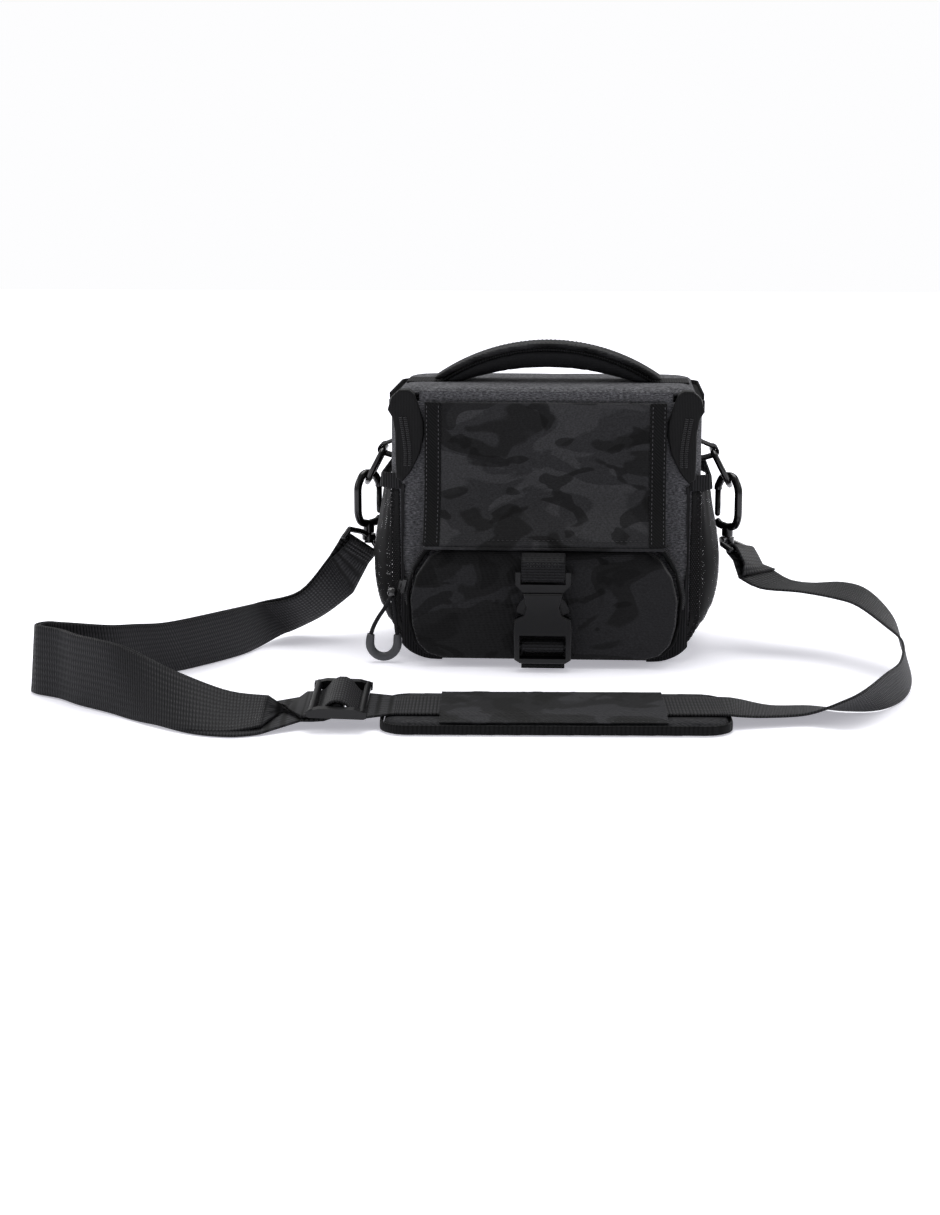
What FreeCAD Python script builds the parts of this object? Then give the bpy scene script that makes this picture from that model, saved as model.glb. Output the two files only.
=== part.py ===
import FreeCAD
import Part
import math
import os

# Camera bag with a shoulder strap.  Millimetres, +Z up, front towards -Y, origin under the bag.
V = FreeCAD.Vector

# ---- driving dimensions --------------------------------------------------------------------
BODY_W = 181.0          # outer width of the padded body
BODY_D = 108.0          # outer depth of the padded body
BODY_H = 152.0          # height of the body rim
BASE_Z = 1.6            # underside of the body above the floor, on the bottom panel
CORNER_R = 14.0         # upright corners
BELLY_R = 27.0          # big lower corners, seen from the front
WALL = 4.5              # foam-backed wall
LINING = 1.2
LID_T = 5.8
LID_GAP = 0.7           # zip line between the body rim and the lid
NOTCH_X, NOTCH_Y = 73.4, 8.5   # lid corners cut back for the zip gussets
FLAP_W = 139.0
FLAP_HEM_Z = 69.5
FLAP_T = 2.6
POCKET_Y = -75.5        # face of the front pocket
POCKET_T = 2.2
POCKET_GAP = 0.3
BUCKLE_WEB = 25.0
STRAP_W = 38.0
WEB_T = 1.5
PAD_L, PAD_D, PAD_T = 182.0, 70.0, 6.0
PAD_AT = V(9.5, -193.0, 0.0)
PAD_TURN = 2.6
RING_D, HOOK_D = 3.6, 4.8
RING_R = 13.0
CORD_D = 2.5
HY = BODY_D / 2
os.makedirs("parts", exist_ok=True)


# ---- small helpers -------------------------------------------------------------------------
def save(name, shape):
    if len(shape.Solids) != 1 or not shape.isValid():
        print("CHECK", name, "solids", len(shape.Solids), "valid", shape.isValid())
    shape.exportStep("parts/" + name + ".step")


def mirror(shape):
    return shape.mirror(V(0, 0, 0), V(1, 0, 0))


def save_pair(name, left_shape):
    save(name + "_left", left_shape)
    save(name + "_right", mirror(left_shape))


def box(x0, x1, y0, y1, z0, z1):
    return Part.makeBox(x1 - x0, y1 - y0, z1 - z0, V(x0, y0, z0))


def face_of(points):
    return Part.Face(Part.makePolygon(points + [points[0]]))


def prism_xz(pts, y0, y1):
    return face_of([V(x, y0, z) for x, z in pts]).extrude(V(0, y1 - y0, 0))


def prism_xy(pts, z0, z1):
    return face_of([V(x, y, z0) for x, y in pts]).extrude(V(0, 0, z1 - z0))


def prism_yz(pts, x0, x1):
    return face_of([V(x0, y, z) for y, z in pts]).extrude(V(x1 - x0, 0, 0))


def arc_pts(cx, cy, r, a0, a1, n):
    return [(cx + r * math.cos(math.radians(a0 + (a1 - a0) * i / n)),
             cy + r * math.sin(math.radians(a0 + (a1 - a0) * i / n))) for i in range(n + 1)]


def round_box(w, d, r, z0, z1, cy=0.0):
    """Upright block with rounded corners, true arcs."""
    blk = box(-w / 2, w / 2, cy - d / 2, cy + d / 2, z0, z1)
    up = [e for e in blk.Edges if abs(e.Vertexes[0].Z - e.Vertexes[-1].Z) > (z1 - z0) / 2]
    return blk.makeFillet(r, up)


def belly(half, z0, z1, r, y0, y1):
    """Slab along Y whose two lower corners are big arcs."""
    blk = box(-half, half, y0, y1, z0, z1)
    low = [e for e in blk.Edges if all(abs(v.Z - z0) < 0.01 for v in e.Vertexes)
           and abs(e.Vertexes[0].Y - e.Vertexes[-1].Y) > 1]
    return blk.makeFillet(r, low)


def body_form(grow, z_top=BODY_H, base=BASE_Z):
    """The outer form of the body, grown or shrunk by one even amount."""
    side = belly(BODY_W / 2 + grow, base - grow, z_top, BELLY_R + grow, -HY - grow, HY + grow)
    plan = round_box(BODY_W + 2 * grow, BODY_D + 2 * grow, CORNER_R + grow, base - grow, z_top)
    return side.common(plan)


def skin(region, inner, outer, z_top=BODY_H):
    """A patch of cloth that follows the body between two distances from it."""
    return region.common(body_form(outer, z_top).cut(body_form(inner, z_top + 1)))


def catmull(rows, step):
    """Even points along a smooth line through rows of numbers."""
    out = []
    ends = [rows[0]] + list(rows) + [rows[-1]]
    for i in range(1, len(ends) - 2):
        a, b, c, d = ends[i - 1], ends[i], ends[i + 1], ends[i + 2]
        mid = [(b[k] + b[k + 3]) / 2 for k in range(3)], [(c[k] + c[k + 3]) / 2 for k in range(3)]
        n = max(1, round(math.dist(*mid) / step))
        for j in range(n):
            t = j / n
            out.append([0.5 * (2 * b[k] + (c[k] - a[k]) * t
                               + (2 * a[k] - 5 * b[k] + 4 * c[k] - d[k]) * t * t
                               + (3 * b[k] - a[k] - 3 * c[k] + d[k]) * t ** 3)
                        for k in range(len(b))])
    out.append(list(rows[-1]))
    return out


def frames(rows):
    """Centre, across and normal vectors of a ribbon from rows of two edge points."""
    mids = [V(*[(r[k] + r[k + 3]) / 2 for k in range(3)]) for r in rows]
    res = []
    for i, r in enumerate(rows):
        across = (V(*r[3:6]) - V(*r[0:3])).normalize()
        run = mids[min(i + 1, len(mids) - 1)] - mids[max(i - 1, 0)]
        normal = across.cross(run).normalize()
        res.append((mids[i], across, normal))
    return res


def ribbon(secs, width, thick):
    """Webbing solid through (centre, across, normal) sections."""
    wires = []
    for c, a, n in secs:
        n = (n - a * n.dot(a)).normalize()
        h, k = a * (width / 2), n * (thick / 2)
        wires.append(Part.makePolygon([c - h - k, c + h - k, c + h + k, c - h + k, c - h - k]))
    return Part.makeLoft(wires, True, True)


def arc_path(points, share=0.45):
    """Straight runs joined by tangent arcs through the given points."""
    edges, here, radii = [], points[0], []
    for i in range(1, len(points) - 1):
        p, q, r = points[i - 1], points[i], points[i + 1]
        u, v = (p - q), (r - q)
        reach = share * min(u.Length, v.Length)
        u, v = u.normalize(), v.normalize()
        half = math.acos(max(-1, min(1, u.dot(v)))) / 2
        rad = reach * math.tan(half)
        radii.append(round(rad, 1))
        a, b = q + u * reach, q + v * reach
        c = q + (u + v).normalize() * (rad / math.sin(half))
        m = c + (q - c).normalize() * rad
        edges += [Part.LineSegment(here, a).toShape(), Part.Arc(a, m, b).toShape()]
        here = b
    edges.append(Part.LineSegment(here, points[-1]).toShape())
    return Part.Wire(edges), radii


def rod(points, dia, share=0.45):
    path, radii = arc_path(points, share)
    run = (points[1] - points[0]).normalize()
    disc = Part.Wire([Part.makeCircle(dia / 2, points[0], run)])
    return path.makePipeShell([disc], True, False), path.Length, radii


def ring_rod(points, dia, share=0.45):
    """Closed loop of round wire through points, corners as arcs."""
    mid = (points[0] + points[-1]) * 0.5
    loop = [mid] + list(points) + [mid]
    path, radii = arc_path(loop, share)
    disc = Part.Wire([Part.makeCircle(dia / 2, mid, (loop[1] - mid).normalize())])
    return path.makePipeShell([disc], True, False)


# ---- padded body ---------------------------------------------------------------------------
def make_body():
    outer = body_form(0.0)
    save("outer_shell", outer.cut(body_form(-WALL, BODY_H + 1)))
    save("bottom_panel", round_box(124, 98, 10, 0.0, BASE_Z))
    save("base_board", round_box(122, 92, 8, BASE_Z + WALL + 0.1, BASE_Z + WALL + 2.1))
    lift = BASE_Z + WALL + 2.4
    gap = WALL + 0.3
    def liner(g, z_top):
        side = belly(BODY_W / 2 - g, lift + g - gap, z_top, BELLY_R - g, -HY + g, HY - g)
        return side.common(round_box(BODY_W - 2 * g, BODY_D - 2 * g, CORNER_R - g, 0, z_top))
    save("lining", liner(gap, BODY_H - 0.4).cut(liner(gap + LINING, BODY_H + 1)))
    inner_y = HY - gap - LINING - 0.3
    pad = box(-24, -16, -inner_y, inner_y, lift + LINING + 0.4, 118)
    save("divider", pad.makeFillet(2.5, pad.Edges))


# ---- zip round the rim and its gussets -----------------------------------------------------
GUSSET = [(-79.0, 159.3), (-84.5, 159.0), (-89.0, 155.0), (-91.4, 147.5), (-88.6, 143.0),
          (-87.0, 134.0), (-87.0, 118.0), (-86.6, 108.0), (-82.7, 105.5), (-77.5, 112.0),
          (-72.5, 122.0), (-70.0, 133.0), (-70.2, 141.0), (-73.6, 152.0), (-76.0, 157.0)]


def make_zip():
    plate = prism_xz(GUSSET, -HY - 2.6, -HY - 0.3)
    plate = plate.makeFillet(0.9, [e for e in plate.Edges if abs(e.Vertexes[0].Y - e.Vertexes[-1].Y) < 0.1
                                   and e.Vertexes[0].Y < -HY - 2])
    crown = [(-75.2, 152.6), (-76.0, 156.6), (-79.0, 159.3), (-84.5, 159.0), (-89.0, 155.0),
             (-90.4, 152.6)]
    plate = plate.fuse(prism_xz(crown, -HY - 0.4, -HY + NOTCH_Y - 0.9)).removeSplitter()
    save_pair("zip_gusset", plate)
    teeth = [(-80.6, 138.0), (-77.6, 138.0), (-78.6, 124.0), (-82.0, 110.0), (-84.4, 111.5),
             (-81.4, 125.0)]
    save_pair("gusset_zip_teeth", prism_xz(teeth, -HY - 3.4, -HY - 2.7))
    ring = box(-100, 100, -HY + 14, HY + 5, BODY_H - 7, BODY_H - 0.2)
    save("rim_zip_tape", skin(ring, 0.3, 1.5, BODY_H - 0.2))
    row = box(-100, 100, -HY + 14, HY + 5, BODY_H, BODY_H + 0.35)
    save("rim_zip_teeth", skin(row, -2.0, 1.2, BODY_H + 0.35))


def lid_form(grow, z0, z1):
    blk = round_box(BODY_W - 2.0 + 2 * grow, BODY_D - 1.0 + 2 * grow, CORNER_R, z0, z1, 0.5)
    n = NOTCH_X + grow
    for side in (-1, 1):
        blk = blk.cut(box(min(side * n, side * 120), max(side * n, side * 120),
                          -80, -HY + NOTCH_Y - grow, z0 - 1, z1 + 1))
    return blk


def make_lid():
    z0 = BODY_H + LID_GAP
    top = z0 + LID_T
    panel = lid_form(0.0, z0 + 1.0, top)
    rim = [e for e in panel.Edges if all(abs(v.Z - top) < 0.01 for v in e.Vertexes)]
    panel = panel.makeFillet(2.6, rim)
    save("lid_panel", panel)
    save("lid_lining", lid_form(-1.5, z0, z0 + 1.0))
    band = box(-100, 100, -HY + 14, HY + 5, z0 + 0.1, z0 + 3.3)
    tape = round_box(BODY_W + 0.8, BODY_D + 1.8, CORNER_R + 1.4, z0, z0 + 4, 0.5)
    save("lid_zip_tape", band.common(tape.cut(lid_form(0.2, z0 - 1, z0 + 5))))
    for name, x in (("left", -7.0), ("right", 7.0)):
        y = HY + 3.4
        block = box(x - 4.5, x + 4.5, y - 1.3, y + 0.9, BODY_H - 3.0, BODY_H + 4.5)
        bridge = box(x - 2.5, x + 2.5, y + 0.8, y + 3.0, BODY_H - 2.2, BODY_H + 3.6)
        hole = box(x - 3, x + 3, y + 1.0, y + 2.2, BODY_H - 0.9, BODY_H + 2.3)
        save("main_slider_" + name, block.fuse(bridge).cut(hole).removeSplitter())
        tab = box(x - 3.8, x + 3.8, y + 3.4, y + 4.8, BODY_H - 20.0, BODY_H - 3.4)
        pin = Part.makeCylinder(0.45, 7.6, V(x - 3.8, y + 1.62, BODY_H + 0.7), V(1, 0, 0))
        arms = [box(x + a, x + b, y + y0, y + 4.8 - y1, BODY_H + z0, BODY_H + 1.2)
                for a, b in ((-3.8, -2.9), (2.9, 3.8)) for y0, y1, z0 in ((1.2, 0.0, 0.2), (3.4, 0.0, -3.6))]
        save("main_pull_" + name, tab.fuse([pin] + arms).removeSplitter())


# ---- carry handle on the lid ---------------------------------------------------------------
def make_handle():
    top = BODY_H + LID_GAP + LID_T
    rise, half, crest = 24.3, 71.5, 183.0
    r = (half * half + rise * rise) / (2 * rise)
    zc = crest - r

    def sector(r0, r1, y0, y1, z_min):
        disc = Part.makeCylinder(r1, y1 - y0, V(0, y0, zc), V(0, 1, 0))
        disc = disc.cut(Part.makeCylinder(r0, y1 - y0, V(0, y0, zc), V(0, 1, 0)))
        return disc.common(box(-90, 90, y0, y1, z_min, crest + 5))
    save("handle_cover", sector(r - 3.2, r, -15, 15, top + 1.9))
    web = sector(r - 4.9, r - 3.4, -14, 14, top + 0.2)
    x_in = math.sqrt((r - 4.9) ** 2 - (top + 0.2 - zc) ** 2)
    for s in (-1, 1):
        web = web.fuse(box(min(s * x_in, s * 84), max(s * x_in, s * 84), -14, 14, top + 0.2, top + 1.7))
    save("handle_webbing", web.removeSplitter())
    low_r = (54.5 ** 2 + 10.2 ** 2) / (2 * 10.2)
    under = Part.makeCylinder(low_r, 40, V(0, -20, top + 10.4 - low_r), V(0, 1, 0))
    save("handle_grip", sector(r - 40, r - 5.1, -15, 15, top + 0.2).cut(under))


# ---- front flap ----------------------------------------------------------------------------
FLAP_LINE = [(-HY - 0.5, BODY_H - 0.2), (-HY - 1.6, 140.0), (-HY - 2.2, 120.0), (-HY - 3.6, 104.0),
             (-HY - 7.0, 90.0), (-HY - 13.2, 78.0), (-HY - 18.0, FLAP_HEM_Z)]


def offset_line(line, d0, d1):
    """Closed outline between two distances in front of a line in the YZ plane."""
    near, far = [], []
    for i, (y, z) in enumerate(line):
        a, b = line[max(i - 1, 0)], line[min(i + 1, len(line) - 1)]
        dy, dz = b[0] - a[0], b[1] - a[1]
        n = math.hypot(dy, dz)
        ny, nz = dz / n, -dy / n
        near.append((y + ny * d0, z + nz * d0))
        far.append((y + ny * d1, z + nz * d1))
    return near + far[::-1]


def make_flap():
    w = FLAP_W / 2
    save("flap_panel", prism_yz(offset_line(FLAP_LINE, 0.0, FLAP_T), -w, w))
    top_line = FLAP_LINE[:]
    save("flap_camo", prism_yz(offset_line(top_line, FLAP_T + 0.05, FLAP_T + 0.65), -w + 9.7, w - 9.7))
    save_pair("flap_tape", prism_yz(offset_line(top_line, FLAP_T + 0.05, FLAP_T + 0.85), -w, -w + 9.5))
    y, z = FLAP_LINE[-1]
    save("flap_hem", box(-w + 1, w - 1, y - FLAP_T - 0.4, y - 0.2, z - 1.9, z - 0.3))


# ---- front pocket --------------------------------------------------------------------------
POCKET = [(-60.0, 2.2), (-70.0, 5.0), (-76.5, 12.0), (-79.6, 24.0), (-80.5, 40.0), (-77.0, 55.0),
          (-70.0, 66.0), (-60.0, 71.5), (60.0, 71.5), (70.0, 66.0), (77.0, 55.0), (80.5, 40.0),
          (79.6, 24.0), (76.5, 12.0), (70.0, 5.0), (60.0, 2.2)]


def scaled(pts, dx, dz, zc=36.0):
    return [(x * (1 - dx / 80.0), zc + (z - zc) * (1 - dz / 35.0)) for x, z in pts]


def make_pocket():
    y_seam = -62.0
    front = prism_xz(scaled(POCKET, 3.4, 3.0), POCKET_Y, y_seam - 0.2)
    hollow = prism_xz(scaled(POCKET, 5.6, 5.2), POCKET_Y + POCKET_T, y_seam + 5)
    rim = [e for e in front.Edges if all(abs(v.Y - POCKET_Y) < 0.01 for v in e.Vertexes)]
    front = front.makeFillet(2.0, rim)
    lean = [(POCKET_Y, -5), (POCKET_Y, 59.0), (-70.8, 68.6), (-40, 68.6), (-40, -5)]
    inner = [(y + (POCKET_T if y < -50 else 0), z - (1.5 if z > 59 else 0.6)) for y, z in lean]
    front = front.common(prism_yz(lean, -90, 90))
    save("front_pocket", front.cut(hollow.common(prism_yz(inner, -90, 90))))
    band = prism_xz(POCKET, y_seam, -HY - 0.4).cut(prism_xz(scaled(POCKET, 1.8, 1.8), y_seam - 1, -HY + 1))
    save("pocket_gusset", band)
    row = prism_xz(scaled(POCKET, -0.5, -0.5), -60.4, -57.4).cut(
        prism_xz(scaled(POCKET, -0.08, -0.08), -61, -57))
    row = row.common(box(-90, 90, -80, -40, 33.0, 80))
    save("pocket_zip_teeth", row)


# The pocket slider rides the slanted left stretch of the zip from (-80.5, 40) up to (-77, 55).
SLIDE_A, SLIDE_B = V(-80.8, -59.2, 40.0), V(-77.3, -59.2, 55.0)


def make_slider():
    run = (SLIDE_B - SLIDE_A).normalize()
    c = SLIDE_A + run * 4.5
    out = V(-run.z, 0, run.x)
    base = Part.makeBox(2.2, 6.4, 8.0, V(0, -3.2, -4.0))
    loop = Part.makeBox(1.2, 2.6, 5.2, V(2.9, -1.3, -2.6)).fuse(
        Part.makeBox(2.2, 2.6, 1.0, V(1.9, -1.3, -2.6))).fuse(Part.makeBox(2.2, 2.6, 1.0, V(1.9, -1.3, 1.6)))
    s = base.fuse(loop).removeSplitter()
    turn = math.degrees(math.atan2(run.x, run.z))
    s.rotate(V(0, 0, 0), V(0, 0, 1), 180)
    s.rotate(V(0, 0, 0), V(0, 1, 0), turn)
    s.translate(c + out * 1.3)
    save("pocket_slider", s)
    return c + out * 4.2


PULL = [(-89.3, -63.4, 38.8), (-92.6, -64.2, 32.6), (-96.6, -64.7, 27.0), (-99.8, -65.0, 21.0),
        (-101.6, -65.0, 14.8), (-101.7, -65.0, 8.2), (-97.0, -65.0, 3.5), (-90.4, -65.0, 3.5),
        (-85.7, -65.0, 8.2), (-85.3, -65.0, 15.0), (-86.3, -64.7, 22.0), (-86.7, -64.1, 29.0),
        (-87.8, -63.4, 35.6), (-87.9, -63.2, 38.4)]


def make_pull():
    """Thin cord doubled from a knot at the slider, its bend held in a moulded U tip."""
    pts = [V(*p) for p in PULL]
    cord, length, radii = rod(pts, CORD_D)
    print("pull cord length", round(length, 1), "radii", radii,
          "volume ratio", round(cord.Volume / (length * math.pi * CORD_D ** 2 / 4), 3))
    save("pull_cord", cord)
    knot = Part.makeSphere(3.1, V(-88.4, -63.0, 41.6)).cut(cord)
    save("pull_knot", knot)
    low = box(-110, -75, -70, -60, -5, 17.0)
    tube, _, _ = rod(pts, 5.2)
    save("pull_tip", tube.common(low).cut(rod(pts, CORD_D + 0.1)[0]))


# ---- side pockets --------------------------------------------------------------------------
SIDE_XZ = [(-80.0, 7.0), (-88.5, 13.5), (-95.5, 21.0), (-100.6, 31.0), (-103.2, 43.0), (-103.6, 58.0),
           (-101.6, 75.0), (-98.4, 91.0), (-97.0, 101.0), (-96.0, 110.0)]
SIDE_XY = [(-84.0, -52.6), (-95.0, -45.0), (-101.0, -34.0), (-103.6, -20.0), (-103.6, -10.0),
           (-101.6, 4.0), (-98.5, 20.0), (-95.5, 34.0), (-91.5, 47.0), (-89.0, 50.0)]


def side_form(t, z0, z1, widen=0.0):
    xz = [(x + t, z + (t if i < 5 else 0)) for i, (x, z) in enumerate(SIDE_XZ)]
    xz = [(-60.0, xz[0][1])] + xz + [(xz[-1][0], z1 + 5), (-60.0, z1 + 5)]
    plan = [(-60.0, SIDE_XY[0][1] + t)] + [(x + t - widen, y + (t if y < -30 else -t if y > 40 else 0))
                                           for x, y in SIDE_XY] + [(-60.0, SIDE_XY[-1][1] - t)]
    both = prism_xz(xz, -60, 60).common(prism_xy(plan, z0, z1))
    return both


def make_side_pocket():
    clear = body_form(0.4, 120)
    net = side_form(0.0, 0, 100.5).cut(side_form(1.2, -5, 106)).cut(clear)
    save_pair("side_pocket", biggest(net))
    hem = side_form(-0.5, 100.7, 110).cut(side_form(1.0, 90, 120)).cut(clear)
    save_pair("side_pocket_hem", biggest(hem))
    bind = [(-92.0, 107.0), (-81.5, 104.0), (-82.5, 60.0), (-80.5, 36.0), (-73.0, 21.0), (-60.0, 10.0),
            (-60.0, 0.0), (-70.0, 0.0), (-92.0, 10.0)]
    strip = skin(prism_xz(bind, -HY - 3, -HY + 9), 0.3, 1.6, 120)
    strip = strip.cut(side_form(-0.8, -5, 112)).cut(prism_xz(POCKET, -80, -HY + 0.2))
    save_pair("side_binding", biggest(strip))


def biggest(shape):
    return max(shape.Solids, key=lambda s: s.Volume)


# ---- side release buckle -------------------------------------------------------------------
BK_Y = -83.0            # middle plane of the buckle
LADDER_Z = 14.8


def half_loop(y, z, r0, r1, keep):
    """Webbing bent round a bar that runs along X, kept on one side only."""
    half = BUCKLE_WEB / 2
    ring = Part.makeCylinder(r1, BUCKLE_WEB, V(-half, y, z), V(1, 0, 0)).cut(
        Part.makeCylinder(r0, BUCKLE_WEB, V(-half, y, z), V(1, 0, 0)))
    return ring.common(keep)


def make_buckle():
    y, half = BK_Y, BUCKLE_WEB / 2
    low = half_loop(y, 55.4, 1.9, 3.2, box(-20, 20, y - 5, y + 5, 50, 55.4))
    legs = [box(-half, half, y + 1.9, y + 3.2, 55.4, 65.0), box(-half, half, y - 3.2, y - 1.9, 55.4, 64.0)]
    top = prism_yz([(y - 3.2, 64.0), (y - 1.9, 64.0), (y + 1.9, 65.0), (y + 3.2, 65.0), (y + 6.8, 67.2),
                    (y + 6.8, 68.6), (y + 2.0, 68.4), (y - 3.2, 65.6)], -half, half)
    save("plug_webbing", low.fuse(legs + [top]).removeSplitter())
    plug = prism_xz([(-15.8, 58.2), (-15.8, 51.0), (-11.6, 46.6), (11.6, 46.6), (15.8, 51.0), (15.8, 58.2)],
                    y - 2.6, y + 2.6)
    plug = plug.cut(box(-12.9, 12.9, y - 9, y + 9, 51.2, 60))
    bar = Part.makeCylinder(1.5, 28.0, V(-14.0, y, 55.4), V(1, 0, 0))
    guide = box(-2.2, 2.2, y - 1.5, y + 1.5, 24.8, 47.0)
    neck = box(-10.6, 10.6, y - 1.6, y + 1.6, 44.4, 47.0)
    save("buckle_plug", plug.fuse([bar, guide, neck]).removeSplitter())
    prong = [(-6.0, 44.1), (-9.9, 44.1), (-12.6, 41.4), (-14.8, 37.4), (-15.0, 34.9), (-12.4, 34.1),
             (-8.2, 27.2), (-5.4, 27.2), (-6.4, 34.0)]
    save_pair("prong", prism_xz(prong, y - 1.6, y + 1.6))
    body = [(-16.2, 7.4), (-13.0, 5.4), (13.0, 5.4), (16.2, 7.4), (16.7, 24.0), (16.2, 31.0), (11.0, 33.3),
            (9.4, 38.5), (11.4, 46.2), (-11.4, 46.2), (-9.4, 38.5), (-11.0, 33.3), (-16.2, 31.0), (-16.7, 24.0)]
    sock = prism_xz(body, y - 4.3, y + 4.3)
    rim = [e for e in sock.Edges if abs(e.Vertexes[0].Y - e.Vertexes[-1].Y) < 0.01]
    sock = sock.makeFillet(0.9, rim)
    throat = prism_xz([(-15.0, 26.4), (15.0, 26.4), (14.6, 36.0), (12.9, 48.0), (-12.9, 48.0), (-14.6, 36.0)],
                      y - 2.3, y + 2.3)
    throat = throat.fuse(box(-3.0, 3.0, y - 2.3, y + 2.3, 24.2, 27))
    sock = sock.cut(throat).cut(box(-13.3, 13.3, y - 9, y + 9, 8.2, 21.8))
    sock = sock.fuse(Part.makeCylinder(1.7, 28.0, V(-14.0, y, LADDER_Z), V(1, 0, 0)))
    save("buckle_socket", sock.removeSplitter())
    hump = half_loop(y, LADDER_Z, 2.1, 3.4, box(-20, 20, y - 5, y, 5, 30))
    upper = box(-half, half, y, -POCKET_GAP + POCKET_Y, LADDER_Z + 2.1, LADDER_Z + 3.4)
    lower = box(-half, half, y, y + 6.0, LADDER_Z - 3.4, LADDER_Z - 2.1)
    tail = box(-half, half, y + 4.7, y + 6.0, 0.3, LADDER_Z - 3.0)
    save("socket_webbing", hump.fuse([upper, lower, tail]).removeSplitter())


# ---- rings, hooks and swivel bases ---------------------------------------------------------
RING_AT = V(-99.6, 9.0, 117.0)
RING_LEAN = 27.0
HOOK_AT = V(-109.5, 7.0, 68.5)     # foot of the hook, above its swivel
HOOK_TURN = 54.5
HOOK_H, HOOK_W = 30.5, 19.6


def make_ring():
    tab = prism_xz([(-90.9, 110.6), (-95.0, 111.6), (-101.6, 114.2), (-103.0, 117.0), (-101.6, 120.0),
                    (-98.0, 121.4), (-90.9, 125.0)], RING_AT.y - 8.6, RING_AT.y + 8.6)
    tab = tab.cut(Part.makeCylinder(RING_D / 2 + 0.4, 30, RING_AT - V(0, 15, 0), V(0, 1, 0)))
    save_pair("ring_tab", tab)
    r = RING_R
    pts = [V(0, -r, 0.0), V(0, -r, -12.5), V(0, -r * 0.74, -19.6), V(0, 0, -24.4),
           V(0, r * 0.74, -19.6), V(0, r, -12.5), V(0, r, 0.0)]
    ring = ring_rod(pts[::-1], RING_D, 0.4)
    ring.rotate(V(0, 0, 0), V(0, 1, 0), RING_LEAN)
    ring.translate(RING_AT)
    save_pair("d_ring", ring)


def hook_place(shape):
    shape.rotate(V(0, 0, 0), V(0, 0, 1), HOOK_TURN)
    shape.translate(HOOK_AT)
    return shape


def make_hook():
    """Hook drawn in its own XZ plane, back of the hook on -X, gate on +X, neck at the origin."""
    w, h = HOOK_W / 2, HOOK_H
    pts = [V(0.0, 0, 2.0), V(-w * 0.75, 0, 3.6), V(-w, 0, 9.0), V(-w, 0, h - 4.0), V(-w * 0.5, 0, h + 3.2),
           V(w * 0.55, 0, h + 2.4), V(w, 0, h - 4.2), V(w, 0, h - 6.5)]
    body, _, _ = rod(pts, HOOK_D, 0.42)
    foot, _, _ = rod([V(0, 0, 2.0), V(w * 0.75, 0, 2.6), V(w + 0.6, 0, 4.4)], HOOK_D, 0.42)
    neck = Part.makeCylinder(3.4, 5.6, V(0, 0, -3.2))
    pin = Part.makeCylinder(1.7, 9.3, V(0, 0, -9.6))
    head = Part.makeCylinder(2.9, 1.4, V(0, 0, -9.6))
    hook = body.fuse(foot).fuse(neck).fuse(pin).fuse(head).fuse(Part.makeSphere(HOOK_D / 2, V(0, 0, 2.0)))
    save_pair("hook", hook_place(hook.removeSplitter()))
    gate = Part.makeCylinder(1.8, h - 17.4, V(w, 0, 9.2))
    gate = gate.fuse(Part.makeSphere(1.8, V(w, 0, 9.2)))
    save_pair("gate", hook_place(gate))


def base_frame(name, bar, across, neck):
    """Loop for the webbing: a bar inside the fold, two arms and a bridge with the swivel collar."""
    up = neck - bar
    up = up - across * up.dot(across)
    wide, narrow = STRAP_W / 2 + 2.6, 7.0
    rise = up * (5.6 / up.Length)
    pts = [bar + across * wide, bar + across * wide + rise, bar + up + across * narrow,
           bar + up - across * narrow, bar - across * wide + rise, bar - across * wide]
    loop = Part.makeSphere(1.7, pts[0])
    for a, b in zip(pts, pts[1:] + pts[:1]):
        loop = loop.fuse(Part.makeCylinder(1.7, (b - a).Length, a, b - a)).fuse(Part.makeSphere(1.7, b))
    collar = Part.makeCylinder(4.2, 3.6, neck - V(0, 0, 1.8)).cut(Part.makeCylinder(2.1, 12, neck - V(0, 0, 6)))
    room = Part.makeCylinder(3.4, 6, neck - V(0, 0, 8.2)).fuse(Part.makeCylinder(2.1, 12, neck - V(0, 0, 6)))
    room = room.fuse(Part.makeCylinder(4.2, 6, neck + V(0, 0, 1.8)))
    save(name, loop.cut(room).fuse(collar).removeSplitter())


# ---- shoulder strap ------------------------------------------------------------------------
# Rows of the two edges of the webbing: far or lower edge, near or upper edge.
LEFT_RUN = [
    (-121.6, 11.4, 27.6, -131.6, -14.6, 53.1),
    (-139.3, 7.7, 14.6, -148.4, -23.7, 33.9), (-160.9, 2.5, 4.0, -172.6, -25.0, 27.0),
    (-179.3, -46.0, 0.9, -186.6, -68.0, 30.6), (-204.3, -86.7, 0.9, -212.2, -107.4, 31.5),
    (-223.3, -108.0, 0.9, -227.1, -125.7, 34.0), (-236.6, -126.0, 0.9, -238.0, -139.3, 36.2),
    (-250.7, -138.0, 0.9, -251.8, -144.1, 37.7), (-264.4, -146.0, 0.9, -263.5, -144.2, 38.5),
    (-276.5, -144.6, 0.9, -272.5, -140.0, 38.0), (-280.4, -149.9, 0.9, -277.2, -145.0, 38.0),
    (-276.0, -157.0, 0.9, -275.5, -151.5, 38.0), (-261.0, -166.9, 0.9, -262.6, -159.0, 38.0),
    (-246.4, -180.6, 0.9, -249.0, -172.7, 37.5), (-223.2, -198.8, 0.9, -226.3, -189.5, 37.0),
    (-199.8, -219.5, 1.2, -204.2, -195.5, 30.2), (-177.2, -234.5, 2.4, -181.2, -203.4, 22.2),
    (-156.0, -238.0, 2.6, -160.2, -202.6, 14.8), (-139.5, -232.0, 4.4, -141.5, -195.0, 10.9)]
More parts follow.
